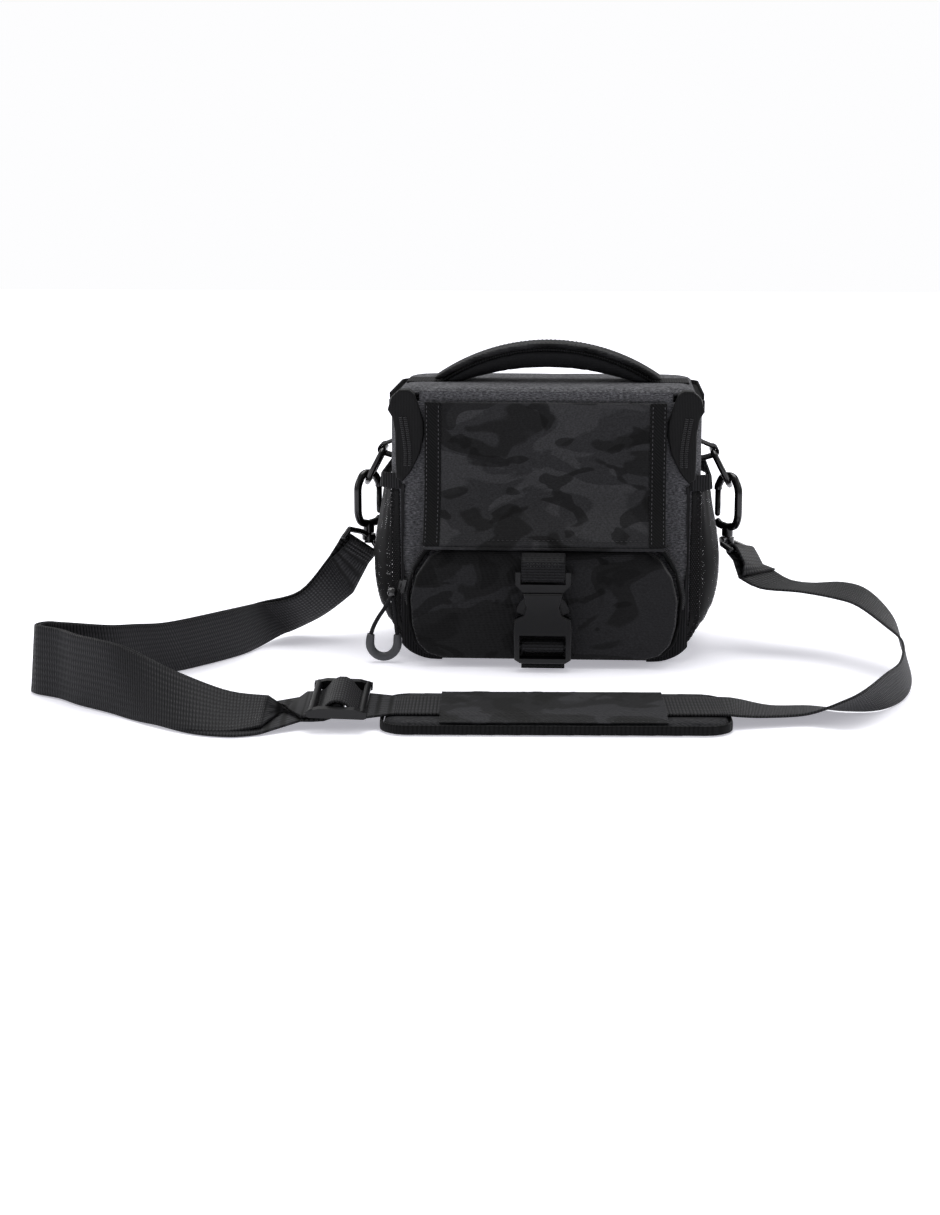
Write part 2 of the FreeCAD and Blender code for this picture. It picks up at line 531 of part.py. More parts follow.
RIGHT_RUN = [
    (106.0, -170.0, 6.6, 103.6, -207.8, 7.0), (123.5, -166.5, 2.4, 118.5, -203.8, 5.8),
    (145.2, -161.8, 1.3, 141.0, -199.0, 6.5), (163.0, -168.5, 1.1, 158.8, -203.6, 15.0),
    (182.0, -165.3, 1.1, 169.3, -195.5, 18.3), (197.6, -140.5, 1.1, 184.1, -167.8, 21.1),
    (206.0, -109.5, 4.5, 195.5, -140.5, 22.0), (204.5, -80.5, 17.0, 199.5, -115.5, 27.5),
    (202.0, -54.7, 29.0, 193.0, -90.3, 31.3), (190.3, -33.7, 40.1, 180.3, -70.3, 37.9),
    (177.6, -17.4, 41.6, 169.5, -54.5, 39.0), (160.6, -2.9, 38.1, 149.7, -39.1, 39.9),
    (147.7, 1.0, 39.3, 127.2, -31.0, 40.3), (137.0, 4.6, 44.8, 114.9, -26.0, 45.6)]
ADJ_AT = V(-102.5, -203.5, 12.4)
ADJ_RUN, ADJ_ACROSS = V(1.0, 0.03, -0.03).normalize(), V(-0.03, 0.99, 0.10).normalize()
ADJ_UP = ADJ_RUN.cross(ADJ_ACROSS).normalize()
BAR_L, BAR_R = V(-115.5, 1.5, 57.6), V(117.4, -2.0, 57.6)
ACROSS_L, ACROSS_R = V(-0.292, -0.868, 0.403).normalize(), V(-0.36, -0.91, 0.19).normalize()
NECK_L, NECK_R = V(-109.5, 7.0, 62.6), V(109.5, 7.0, 62.6)


def adj_point(x, z):
    return ADJ_AT + ADJ_RUN * x + ADJ_UP * z


def plain_row(c, across):
    a, b = c + across * (STRAP_W / 2), c - across * (STRAP_W / 2)
    return (a.x, a.y, a.z, b.x, b.y, b.z)


def pad_rows():
    turn = math.radians(PAD_TURN)
    run, across = V(math.cos(turn), math.sin(turn), 0), V(-math.sin(turn), math.cos(turn), 0)
    return [plain_row(V(PAD_AT.x, PAD_AT.y, 7.4) + run * s, across)
            for s in (-84, -60, -30, 0, 30, 60, 88)]


def turn_sections(bar, across, start, over, radius, sign, n=8):
    """Half turn round a bar: begins on the start side and passes over the far side of the bar."""
    out = []
    for i in range(n + 1):
        t = math.pi * i / n
        d = start * math.cos(t) + over * math.sin(t)
        out.append((bar + d * radius, across, d * sign))
    return out


def end_loop(first, bar, across, outward):
    """Sections from the run round its end bar; the run lies on the outward side of the bar."""
    c0, _, n0 = first
    leave = c0 - bar
    leave = (leave - across * leave.dot(across)).normalize()
    side = across.cross(leave).normalize()
    if side.dot(outward) < 0:
        side = side * -1.0
    sign = 1.0 if n0.dot(side) > 0 else -1.0
    near = [(bar + leave * 5.5 + side * 2.5, across, side * sign)]
    return near + turn_sections(bar, across, side, leave * -1.0, 3.05, sign), leave, side, sign


def above_floor(sec):
    """Lift a webbing section that would dip into the floor."""
    c, a, n = sec
    low = c.z - abs(a.z) * STRAP_W / 2 - abs(n.z) * WEB_T / 2
    return (c + V(0, 0, max(0.0, 0.25 - low)), a, n)


def make_strap():
    hump = [(13.0, -3.6), (9.0, -2.0), (6.6, 0.8), (4.4, 3.6), (1.6, 5.0), (-1.6, 5.0), (-4.4, 3.6),
            (-6.6, 0.8), (-9.0, -2.0), (-13.0, -3.6), (-19.0, -4.0)]
    rows = catmull(RIGHT_RUN[::-1] + pad_rows()[::-1], 7.0)
    rows += [plain_row(adj_point(x, z), ADJ_ACROSS) for x, z in hump]
    left_at = len(rows)
    rows += catmull(LEFT_RUN[::-1], 7.0)
    secs = frames(rows)

    wrap, leave, side, sign = end_loop(secs[0], BAR_R, ACROSS_R, V(0, 0, -1))
    tail = [(BAR_R + leave * 5.5 - side * 2.5, ACROSS_R, side * -sign),
            (BAR_R + leave * 11 - side * 1.7, ACROSS_R, side * -sign),
            (secs[0][0] - side * 1.9 + leave * 1.0, secs[0][1], side * -sign)]
    start = (wrap + tail)[::-1]

    wrap, leave, side, sign = end_loop(secs[-1], BAR_L, ACROSS_L, V(-1, 0, 0.3))
    inner = [(BAR_L + leave * 5.5 - side * 2.5, ACROSS_L, side * -sign)]
    for c, a, n in secs[left_at:][::-1]:
        m = n * sign
        ease = max(0.0, min(1.0, (c.x + 200) / 45)) * (1 if c.y < -150 else 0)
        inner.append((c - m * 2.15 + a * (-4.5 * ease), a, n * -1.0))
    bottom = [(adj_point(x, z), ADJ_ACROSS * -1.0, ADJ_UP * k) for x, z, k in
              ((-19.0, -6.4, 1), (-13.0, -6.2, 1), (-7.0, -5.6, 1), (-3.2, -4.2, 1))]
    loop = []
    for deg in range(-90, 191, 28):
        t = math.radians(deg)
        d = ADJ_RUN * math.cos(t) + ADJ_UP * math.sin(t)
        loop.append((ADJ_AT + d * 2.65, ADJ_ACROSS * -1.0, d))
    tail_sign = 1.0 if inner[-1][2].dot(ADJ_UP) > 0 else -1.0
    across_sign = 1.0 if inner[-1][1].dot(ADJ_ACROSS * -1.0) > 0 else -1.0
    end = [(c, a * across_sign, n * tail_sign) for c, a, n in bottom]
    end += [(c, a * across_sign, n * -tail_sign) for c, a, n in loop]
    solid = ribbon([above_floor(sec) for sec in start + secs + wrap + inner + end], STRAP_W, WEB_T)
    print("strap box", solid.BoundBox)
    length = sum((rows_b[0] - rows_a[0]).Length for rows_a, rows_b in zip(secs, secs[1:]))
    print("strap run", round(length, 1), "sections", len(secs), "volume", round(solid.Volume, 1))
    save("strap_webbing", solid)
    base_frame("swivel_base_left", BAR_L, ACROSS_L, NECK_L)
    base_frame("swivel_base_right", BAR_R, ACROSS_R, NECK_R)


def make_adjuster():
    parts = [Part.makeCylinder(1.9, 47, V(x, -23.5, 0), V(0, 1, 0)) for x in (-13.0, 13.0)]
    parts.append(Part.makeCylinder(1.6, 46, V(0, -23, 0), V(0, 1, 0)))
    for s in (-1, 1):
        rail = prism_xz([(-15.5, -1.9), (-14.0, -2.6), (14.0, -2.6), (15.5, -1.9), (15.5, 0.9), (9.0, 2.6),
                         (-9.0, 2.6), (-15.5, 0.9)], s * 22.0 - 2.2, s * 22.0 + 2.2)
        parts.append(rail)
    frame = parts[0].fuse(parts[1:]).removeSplitter()
    frame = frame.transformGeometry(FreeCAD.Matrix(
        ADJ_RUN.x, ADJ_ACROSS.x, ADJ_UP.x, ADJ_AT.x, ADJ_RUN.y, ADJ_ACROSS.y, ADJ_UP.y, ADJ_AT.y,
        ADJ_RUN.z, ADJ_ACROSS.z, ADJ_UP.z, ADJ_AT.z, 0, 0, 0, 1))
    save("adjuster", frame)


def on_pad(shape):
    shape.rotate(V(0, 0, 0), V(0, 0, 1), PAD_TURN)
    shape.translate(PAD_AT)
    return shape


def make_pad():
    core = round_box(PAD_L - 3, PAD_D - 3, 13, 0.0, PAD_T)
    save("shoulder_pad", on_pad(core))
    band = round_box(PAD_L, PAD_D, 14.5, 0.4, PAD_T - 0.4).cut(round_box(PAD_L - 2.9, PAD_D - 2.9, 13.05, -1, 9))
    save("pad_binding", on_pad(band))
    half = PAD_D / 2 - 2.2
    arch = [(-half, PAD_T + 0.05), (-half + 3.5, PAD_T + 0.05), (-20.6, 8.45), (20.6, 8.45),
            (half - 3.5, PAD_T + 0.05), (half, PAD_T + 0.05), (half, PAD_T + 1.1), (21.0, 9.6), (-21.0, 9.6),
            (-half, PAD_T + 1.1)]
    save("pad_sleeve", on_pad(prism_yz(arch, -60.0, 57.0)))


make_body()
make_zip()
make_lid()
make_handle()
make_flap()
make_pocket()
make_slider()
make_pull()
make_side_pocket()
make_buckle()
make_ring()
make_hook()
make_strap()
make_adjuster()
make_pad()
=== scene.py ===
import bmesh
import bpy
import math
from mathutils import Matrix, Vector, noise


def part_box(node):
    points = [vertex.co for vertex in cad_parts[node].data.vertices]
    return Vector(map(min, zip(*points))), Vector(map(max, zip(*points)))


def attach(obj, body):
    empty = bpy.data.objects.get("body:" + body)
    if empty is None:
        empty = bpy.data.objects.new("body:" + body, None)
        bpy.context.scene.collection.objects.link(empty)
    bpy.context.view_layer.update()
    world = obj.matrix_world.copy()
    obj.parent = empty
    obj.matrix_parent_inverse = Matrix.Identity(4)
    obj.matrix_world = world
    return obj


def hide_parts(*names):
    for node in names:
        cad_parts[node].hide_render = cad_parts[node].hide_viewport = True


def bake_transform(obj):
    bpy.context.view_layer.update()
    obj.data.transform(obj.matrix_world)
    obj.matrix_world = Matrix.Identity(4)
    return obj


# Small camera bag with its shoulder strap laid in front.
# Metres in the scene, millimetres in the lists below; +Z up, the front looks to -Y.
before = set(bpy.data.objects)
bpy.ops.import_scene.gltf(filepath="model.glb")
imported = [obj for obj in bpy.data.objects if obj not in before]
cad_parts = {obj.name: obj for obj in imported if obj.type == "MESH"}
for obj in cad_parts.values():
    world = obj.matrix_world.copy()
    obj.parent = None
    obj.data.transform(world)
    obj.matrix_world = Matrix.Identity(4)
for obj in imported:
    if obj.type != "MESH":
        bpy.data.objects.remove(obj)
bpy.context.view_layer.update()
MM = 0.001


# ---- table, light and camera -----------------------------------------------------------------
# A white sweep under the bag, lit by a wide box overhead and two weak ones in front, so that the
# cloth stays dark, and glowing with painted light of its own; two small lamps behind draw a soft highlight
# on every moulded edge.
def node(owner, kind, links=(), **settings):
    """Adds a node with its settings, and joins or fills its sockets."""
    made = owner.node_tree.nodes.new(kind)
    for key, value in settings.items():
        setattr(made, key, value)
    for socket, value in dict(links).items():
        if isinstance(value, bpy.types.NodeSocket):
            owner.node_tree.links.new(value, made.inputs[socket])
        else:
            made.inputs[socket].default_value = value
    return made


def linear(code):
    """sRGB hex colour to a linear one."""
    parts = [int(code[i:i + 2], 16) / 255 for i in (1, 3, 5)]
    return tuple(c / 12.92 if c <= 0.04045 else ((c + 0.055) / 1.055) ** 2.4 for c in parts) + (1.0,)


def material(name, colour, roughness, **sockets):
    """A material of one colour; returns it with its shader, ready for patterns."""
    mat = bpy.data.materials.new(name)
    mat.use_nodes = True
    shader = mat.node_tree.nodes["Principled BSDF"]
    shader.inputs["Base Color"].default_value = linear(colour)
    shader.inputs["Roughness"].default_value = roughness
    for socket, value in sockets.items():
        shader.inputs[socket.replace("_", " ")].default_value = value
    return mat, shader


def link(obj):
    bpy.context.scene.collection.objects.link(obj)
    return obj


def mesh_object(name, bm, mat):
    """Turns a bmesh into an object at the origin with smooth faces."""
    mesh = bpy.data.meshes.new(name)
    bm.to_mesh(mesh)
    bm.free()
    mesh.shade_smooth()
    mesh.materials.append(mat)
    return link(bpy.data.objects.new(name, mesh))


table_white, shader = material("matt_white_laminate", "#f2f2f6", 0.7, Specular_IOR_Level=0.1)
# Painted light: the table glows with emission of its own.
shader.inputs["Emission Color"].default_value = linear("#f3f2fb")
# The sweep's painted glow rises away from the bag into the white of the wall.
here = node(table_white, "ShaderNodeTexCoord").outputs["Object"]
away = node(table_white, "ShaderNodeVectorMath", {0: here}, operation="LENGTH").outputs["Value"]
glow = node(table_white, "ShaderNodeMapRange", {"Value": away, "From Min": 0.25, "From Max": 1.5,
                                                "To Min": 0.40, "To Max": 1.0})
table_white.node_tree.links.new(glow.outputs[0], shader.inputs["Emission Strength"])
bm = bmesh.new()
bmesh.ops.create_grid(bm, x_segments=1, y_segments=1, size=4.0)
mesh_object("table", bm, table_white)

# The camera sees a plain white wall; what the wall sheds on the bag is held back.
world = bpy.data.worlds.new("white_room")
world.use_nodes = True
wall = world.node_tree.nodes["Background"]
wall.inputs["Color"].default_value = linear("#fdfdfe")
seen = node(world, "ShaderNodeLightPath").outputs["Is Camera Ray"]
shed = node(world, "ShaderNodeMapRange", {"Value": seen, "To Min": 0.42, "To Max": 1.0})
world.node_tree.links.new(shed.outputs[0], wall.inputs["Strength"])
bpy.context.scene.world = world
bpy.context.scene.view_settings.view_transform = "Standard"

for name, place, aim, size, power in (
        ("box_overhead", (0.0, 0.30, 1.5), (0, 0, 0), 1.2, 20.0),
        ("box_left", (-1.3, -0.7, 0.9), (0, 0, 0.05), 0.8, 4.0),
        ("box_right", (1.2, -0.5, 1.0), (0, 0, 0.05), 0.8, 2.0),
        ("rim_left", (-0.9, 0.7, 0.45), (0, 0, 0.1), 0.35, 3.0),
        ("rim_right", (0.9, 0.7, 0.45), (0, 0, 0.1), 0.35, 3.0)):
    lamp = bpy.data.lights.new(name, "AREA")
    lamp.size, lamp.energy = size, power
    light = link(bpy.data.objects.new(name, lamp))
    light.location = place
    light.rotation_euler = (Vector(place) - Vector(aim)).to_track_quat("Z", "Y").to_euler()

lens = bpy.data.cameras.new("camera")
lens.lens, lens.sensor_width, lens.clip_start = 62.93, 36.0, 0.05
camera = link(bpy.data.objects.new("camera", lens))
camera.location = (0.030, -1.275, 0.280)
camera.rotation_euler = (math.radians(78.5), 0.0, math.radians(3.45))
bpy.context.scene.camera = camera


# ---- padded body -----------------------------------------------------------------------------
# Foam walls faced with heathered polyester, cut with big lower corners and sewn to a stiff base.
# The heather is dark and pale threads spun together, so it reads as fine flecks on mid grey.
WAVE = math.pi / 10            # one period of a wave texture at scale 1
CLOTH = {"Specular_IOR_Level": 0.12, "Sheen_Weight": 0.02, "Sheen_Roughness": 0.5}


def finish(mat, shader, colour=None, height=None, depth=0.2):
    """Joins a pattern's colour and its relief, depth in millimetres, to the shader."""
    if colour:
        mat.node_tree.links.new(colour, shader.inputs["Base Color"])
    if height:
        bump = node(mat, "ShaderNodeBump", {"Height": height, "Distance": depth * MM, "Strength": 1.0})
        mat.node_tree.links.new(bump.outputs[0], shader.inputs["Normal"])
    return mat


def placed(mat, kind, scale, turn=(0, 0, 0)):
    """Object or UV coordinates with a scale and a turn."""
    source = node(mat, "ShaderNodeTexCoord").outputs[kind]
    return node(mat, "ShaderNodeMapping", {"Vector": source, "Scale": scale, "Rotation": turn}).outputs[0]


def stops(mat, factor, colours):
    """Colour ramp over the stops given as (position, hex)."""
    ramp = node(mat, "ShaderNodeValToRGB", {"Fac": factor})
    elements = ramp.color_ramp.elements
    while len(elements) < len(colours):
        elements.new(0.5)
    for element, (position, code) in zip(elements, colours):
        element.position, element.color = position, linear(code)
    return ramp.outputs[0]


def multiply(mat, a, b):
    """Colour a darkened by colour b; sockets 6 and 7 are the mix node's two colours."""
    return node(mat, "ShaderNodeMix", {0: 1.0, 6: a, 7: b}, data_type="RGBA",
                blend_type="MULTIPLY").outputs[2]


def waves(mat, at, pitch, direction="X", **sockets):
    """Even bands with their pitch in metres, on coordinates from placed()."""
    return node(mat, "ShaderNodeTexWave", {"Vector": at, "Scale": WAVE / pitch, **sockets},
                bands_direction=direction).outputs["Fac"]


def specks(mat, at, **sockets):
    """Cloudy noise, one cloud to each unit of the coordinates from placed()."""
    return node(mat, "ShaderNodeTexNoise", {"Vector": at, "Scale": 1.0, **sockets}).outputs["Fac"]


def combined(mat, operation, a, b):
    """One sum of two values."""
    return node(mat, "ShaderNodeMath", {0: a, 1: b}, operation=operation).outputs[0]


def thread_relief(mat, pitch):
    """Crossed threads on any upright or level face, pitch in metres."""
    across = waves(mat, placed(mat, "Object", (1, 1, 0.3)), pitch / 0.71, "DIAGONAL",
                   Distortion=0.6, Detail=1.0)
    upright = waves(mat, placed(mat, "Object", (0.3, -0.3, 1)), pitch, "Z", Distortion=0.6, Detail=1.0)
    return combined(mat, "ADD", across, upright)


def heather(name, dark, mid, pale):
    """Spun flecks about 2 mm long, drawn coarser than the threads so that they show."""
    mat, shader = material(name, mid, 0.92, **CLOTH)
    flecks = specks(mat, placed(mat, "Object", (520, 520, 1500)), Detail=3.0, Roughness=0.7)
    colour = stops(mat, flecks, [(0.33, dark), (0.5, mid), (0.7, pale)])
    return finish(mat, shader, colour, thread_relief(mat, 0.0011), 0.12)


def grained(name, colour, roughness, grains, depth, detail=2.0, **sockets):
    """One colour with a fine grain, grains to the metre and depth millimetres deep."""
    mat, shader = material(name, colour, roughness, **sockets)
    grain = specks(mat, placed(mat, "Object", (grains, grains, grains)), Detail=detail)
    return finish(mat, shader, None, grain, depth)


heather_grey = heather("heathered_polyester", "#2a2a2c", "#4b4b4e", "#6e6e71")
brushed_lining = heather("brushed_loop_lining", "#2b2b2e", "#38383b", "#47474a")


def piece(name, bm, mat, body, slot, *nodes):
    """A finished piece on its body, standing for the CAD nodes named; slot is not used."""
    obj = mesh_object(name, bm, mat)
    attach(obj, body)
    if nodes:
        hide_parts(*nodes)
    return obj


def patch(nx, ny, place, size=(1.0, 1.0)):
    """Grid laid by place(u, v), which gives millimetres; its UV map holds metres of cloth."""
    bm = bmesh.new()
    bmesh.ops.create_grid(bm, x_segments=nx, y_segments=ny, size=0.5)
    uv = bm.loops.layers.uv.new("cloth")
    for face in bm.faces:
        for loop in face.loops:
            at = loop.vert.co
            loop[uv].uv = ((at.x + 0.5) * size[0] * MM, (at.y + 0.5) * size[1] * MM)
    for vert in bm.verts:
        vert.co = Vector(place(vert.co.x + 0.5, vert.co.y + 0.5)) * MM
    return bm


def thickness(obj, amount, offset=0.0, round_edge=0.0):
    """Gives a sheet its real thickness in millimetres, and rounds its cut edge."""
    wall = obj.modifiers.new("thickness", "SOLIDIFY")
    wall.thickness, wall.offset = amount * MM, offset
    if round_edge:
        edge = obj.modifiers.new("edge", "BEVEL")
        edge.width, edge.segments, edge.limit_method = round_edge * MM, 2, "ANGLE"
        edge.angle_limit = math.radians(50)
    return obj


def along(points, count):
    """Evenly spaced points along a broken line."""
    steps = [0.0]
    for a, b in zip(points, points[1:]):
        steps.append(steps[-1] + (b - a).length)
    out, i = [], 0
    for k in range(count + 1):
        at = steps[-1] * k / count
        while i < len(steps) - 2 and steps[i + 1] < at:
            i += 1
        span = (steps[i + 1] - steps[i]) or 1.0
        out.append(points[i].lerp(points[i + 1], (at - steps[i]) / span))
    return out


BODY_HALF, BODY_DEEP, BODY_TOP, BODY_BASE = 90.5, 54.0, 152.0, 1.6
CORNER, BELLY = 14.0, 27.0     # radii seen from above and from the front
WALL = 4.5
AROUND = 240                   # faces round the body
WALL_SHARE, TURN_SHARE, FLOOR_SHARE = 0.55, 0.25, 0.2    # of the sheet from rim to middle


def plan(grow, count=AROUND):
    """Outline of the body seen from above, anticlockwise from the middle of the front."""
    hx, hy, r = BODY_HALF + grow, BODY_DEEP + grow, CORNER + grow
    line = [Vector((0, -hy, 0))]
    for cx, cy, start in ((hx - r, -hy + r, -90), (hx - r, hy - r, 0),
                          (-hx + r, hy - r, 90), (-hx + r, -hy + r, 180)):
        for k in range(13):
            t = math.radians(start + 7.5 * k)
            line.append(Vector((cx + r * math.cos(t), cy + r * math.sin(t), 0)))
    return along(line + [line[0]], count)


def vessel(grow, top, base, puff):
    """Wall and underside of the body as one sheet, grown by grow; puff swells it softly."""
    ring, r = plan(grow), BELLY + grow
    half_wide, half_deep = BODY_HALF + grow, BODY_DEEP + grow

    def place(u, v):
        at = ring[round(u * AROUND)]
        sink = min(v / WALL_SHARE, 1.0)
        turn = math.radians(90) * min(max((v - WALL_SHARE) / TURN_SHARE, 0.0), 1.0)
        keep = 1 - max((v - WALL_SHARE - TURN_SHARE) / FLOOR_SHARE, 0.0)
        z = top + (base + r - top) * sink - r * math.sin(turn)
        wide = (half_wide - r + r * math.cos(turn)) / half_wide
        soft = max(0.0, 1 - (z - base) / 5.0)
        deep = 1 - 4.0 * (1 - math.sqrt(max(0.0, 1 - soft * soft))) / half_deep
        loose = 0.5 + noise.noise(at / 40 + Vector((0, 0, z / 45)))
        swell = puff * math.sin(math.pi * sink) * loose
        return (at.x * (wide * keep + swell / half_wide), at.y * (deep * keep + swell / half_deep), z)
    bm = patch(AROUND, 72, place, (578, 300))
    bmesh.ops.remove_doubles(bm, verts=bm.verts, dist=0.00002)
    bmesh.ops.recalc_face_normals(bm, faces=bm.faces)
    return bm


shell = piece("body_walls", vessel(-0.2, BODY_TOP, BODY_BASE + 0.2, 0.25), heather_grey, "bag",
              "heather_fabric", "outer_shell")
thickness(shell, WALL - 0.5, -1.0, 0.9)
liner = piece("body_lining", vessel(-WALL - 0.35, BODY_TOP - 0.5, BODY_BASE + WALL + 2.5, -0.25),
              brushed_lining, "bag", "lining_fabric", "lining")
thickness(liner, 1.1, -1.0)

# The stiff base is a coated black panel sewn under the body, with a board inside it.
coated_black = grained("coated_base_cloth", "#121213", 0.55, 900, 0.1, **CLOTH)
PANEL_WIDE, PANEL_DEEP, PANEL_CORNER = 124.0, 98.0, 10.0
bm = bmesh.new()
bmesh.ops.create_grid(bm, x_segments=1, y_segments=1, size=0.5)
bmesh.ops.transform(bm, matrix=Matrix.Diagonal((PANEL_WIDE * MM, PANEL_DEEP * MM, 1, 1)), verts=bm.verts)
bmesh.ops.bevel(bm, geom=bm.verts[:], offset=PANEL_CORNER * MM, segments=8, profile=0.5,
                affect="VERTICES", material=-1)
lifted = bmesh.ops.extrude_face_region(bm, geom=bm.faces[:])["geom"]
bmesh.ops.translate(bm, vec=(0, 0, BODY_BASE * MM),
                    verts=[v for v in lifted if isinstance(v, bmesh.types.BMVert)])
bmesh.ops.recalc_face_normals(bm, faces=bm.faces)
piece("base_panel", bm, coated_black, "bag", "base_skin", "bottom_panel")


def dress(mat, *names):
    """Gives CAD pieces that keep their shape a finish."""
    for name in names:
        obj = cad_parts[name]
        obj.data.materials.clear()
        obj.data.materials.append(mat)


dress(material("pressed_grey_board", "#3b3a38", 0.85)[0], "base_board")


# Soft pieces start from their CAD solids, in even faces and with their edges worn round.
def cad_mesh(name):
    """A CAD piece's mesh with its split edges joined again."""
    bm = bmesh.new()
    bm.from_mesh(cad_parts[name].data)
    bmesh.ops.remove_doubles(bm, verts=bm.verts, dist=0.00001)
    return bm


def taken(work):
    """The shape that a work object has after its modifiers; the object is removed."""
    bm = bmesh.new()
    bm.from_object(work, bpy.context.evaluated_depsgraph_get())
    bpy.data.objects.remove(work)
    return bm


def smoothed(bm, rounds=1):
    """Wears a mesh round, a little in each round."""
    for _ in range(rounds):
        bmesh.ops.smooth_vert(bm, verts=bm.verts, factor=0.5, use_axis_x=True, use_axis_y=True,
                              use_axis_z=True)
    return bm


def soft_copy(name, voxel, rounds):
    """The CAD piece in even faces of voxel millimetres with its edges worn round."""
    work = mesh_object("work", cad_mesh(name), heather_grey)
    skin = work.modifiers.new("voxels", "REMESH")
    skin.mode, skin.voxel_size = "VOXEL", voxel * MM
    return smoothed(taken(work), rounds)


def softened(name, cad_name, voxel, rounds, mat, body, slot):
    """A finished piece that is its CAD piece with worn edges."""
    return piece(name, soft_copy(cad_name, voxel, rounds), mat, body, slot, cad_name)


FRAMES = 20


def puffed(bm, pressure, cap, floor=-1.0):
    """Cloth blown up a little; no point moves more than cap millimetres or under the floor."""
    start = [v.co.copy() for v in bm.verts]
    work = mesh_object("work", bm, heather_grey)
    cloth = work.modifiers.new("cloth", "CLOTH")
    cloth.settings.use_pressure = True
    cloth.settings.uniform_pressure_force = pressure
    cloth.settings.effector_weights.gravity = 0.0
    cloth.point_cache.frame_start, cloth.point_cache.frame_end = 1, FRAMES
    for step in range(1, FRAMES + 1):
        bpy.context.scene.frame_set(step)
    bm = taken(work)
    bpy.context.scene.frame_set(1)
    for vert, home in zip(bm.verts, start):
        move = vert.co - home
        if move.length > cap * MM:
            move *= cap * MM / move.length
        vert.co = home + move
        vert.co.z = max(vert.co.z, floor * MM)
    bmesh.ops.subdivide_edges(bm, edges=bm.edges, cuts=1, use_grid_fill=True)
    return smoothed(bm)


# The divider is a foam slab in lining cloth, held by hook tape so that it can be moved along.
divider = piece("divider_pad", puffed(soft_copy("divider", 4.0, 1), 4.0, 1.2), brushed_lining, "divider",
                "lining_fabric", "divider")

# ---- rim zip ---------------------------------------------------------------------------------
# A coil zip runs from one front corner round the back to the other: two woven tapes, one on the
# rim and one on the lid, with two sliders that meet at the back. Tape is flat and matt black.
woven_tape, shader = material("woven_zip_tape", "#121213", 0.85, **CLOTH)
finish(woven_tape, shader, None, thread_relief(woven_tape, 0.0009), 0.1)
coil_black = material("moulded_zip_coil", "#1e1e20", 0.28)[0]
ZIP_FRONT = -40.0
TAPE_STEPS = 200


def rim_line(grow, count):
    """The zip's line from the left front corner round the back to the right."""
    fine = 3 * AROUND
    ring = plan(grow, fine)[::-1]
    corner = Vector((-BODY_HALF - grow, ZIP_FRONT, 0))
    start = min(range(len(ring)), key=lambda i: (ring[i] - corner).length)
    line = [ring[(start + k) % fine] for k in range(fine + 1)]
    cut = next(i for i, p in enumerate(line) if i > 100 and p.y < ZIP_FRONT)
    return along(line[:cut], count)


rim_edge = rim_line(0.9, TAPE_STEPS)
lid_edge, under_pad = rim_line(0.6, TAPE_STEPS), rim_line(-5.0, TAPE_STEPS)


def rim_tape(u, v):
    """Stands outside the body's rim, its upper edge level with the coil."""
    at = rim_edge[round(u * TAPE_STEPS)]
    return (at.x, at.y, 145.0 + 6.8 * v)


def lid_tape(u, v):
    """Stands up round the lid's edge and turns in flat under the pad."""
    i, turned = round(u * TAPE_STEPS), max(0.0, v * 2.0 - 1.0)
    at = lid_edge[i].lerp(under_pad[i], turned)
    return (at.x, at.y, 155.9 - 2.9 * min(1.0, v * 2.0))


thickness(piece("zip_tape_on_rim", patch(TAPE_STEPS, 4, rim_tape, (330, 6.8)), woven_tape, "bag",
                "zip_tape", "rim_zip_tape"), 1.0)
thickness(piece("zip_tape_on_lid", patch(TAPE_STEPS, 12, lid_tape, (330, 9)), woven_tape, "lid",
                "zip_tape", "lid_zip_tape"), 0.8)


def tooth_row(line, size, aim="Z"):
    """One small rounded tooth at every point of a line, size in millimetres along, out and up."""
    bm = bmesh.new()
    for i, at in enumerate(line):
        ahead = line[min(i + 1, len(line) - 1)] - line[max(i - 1, 0)]
        turn = ahead.to_track_quat("X", aim).to_matrix().to_4x4()
        place = Matrix.Translation(at * MM) @ turn
        made = bmesh.ops.create_cube(bm, size=1.0, matrix=place @ Matrix.Diagonal(
            (size[0] * MM, size[1] * MM, size[2] * MM, 1)))
        edges = {e for v in made["verts"] for e in v.link_edges}
        bmesh.ops.bevel(bm, geom=list(edges), offset=0.12 * MM, segments=1, profile=0.5, affect="EDGES",
                        material=-1)
    return bm


teeth = [p + Vector((0, 0, BODY_TOP + 0.17)) for p in rim_line(-0.4, 230)]
piece("rim_coil", tooth_row(teeth, (0.8, 3.0, 0.34)), coil_black, "bag", "zip_teeth", "rim_zip_teeth")

# Sliders and pulls are zinc castings in glossy black enamel that follows their faint waves.
black_enamel = grained("black_enamelled_zinc", "#0e0e0f", 0.28, 400, 0.03, Coat_Weight=0.3)
dress(black_enamel, "main_slider_left", "main_slider_right", "main_pull_left", "main_pull_right",
      "pocket_slider")

# ---- zip gussets at the front corners ---------------------------------------------------------
# A stiff horn of binding tape closes each end of the zip: smooth and folded over at the top,
# with the end of the coil showing as fine upright teeth below.
def ribbed(name, colour, pitch, depth, roughness=0.75, degrees=0, kind="Object"):
    """Ribbed tape: ribs at one pitch, in metres, turned by degrees, with painted shade darkening the grooves
    between them.
    """
    mat, shader = material(name, colour, roughness, **CLOTH)
    at = placed(mat, kind, (1, 1, 1), (0, 0, math.radians(degrees)))
    ribs = waves(mat, at, pitch, Distortion=0.25, Detail=1.0)
    # painted shade: the colour is darkened in the grooves between the ribs
    shade = stops(mat, ribs, [(0.1, "#7a7a7a"), (0.6, "#ffffff")])
    return finish(mat, shader, multiply(mat, linear(colour), shade), ribs, depth)


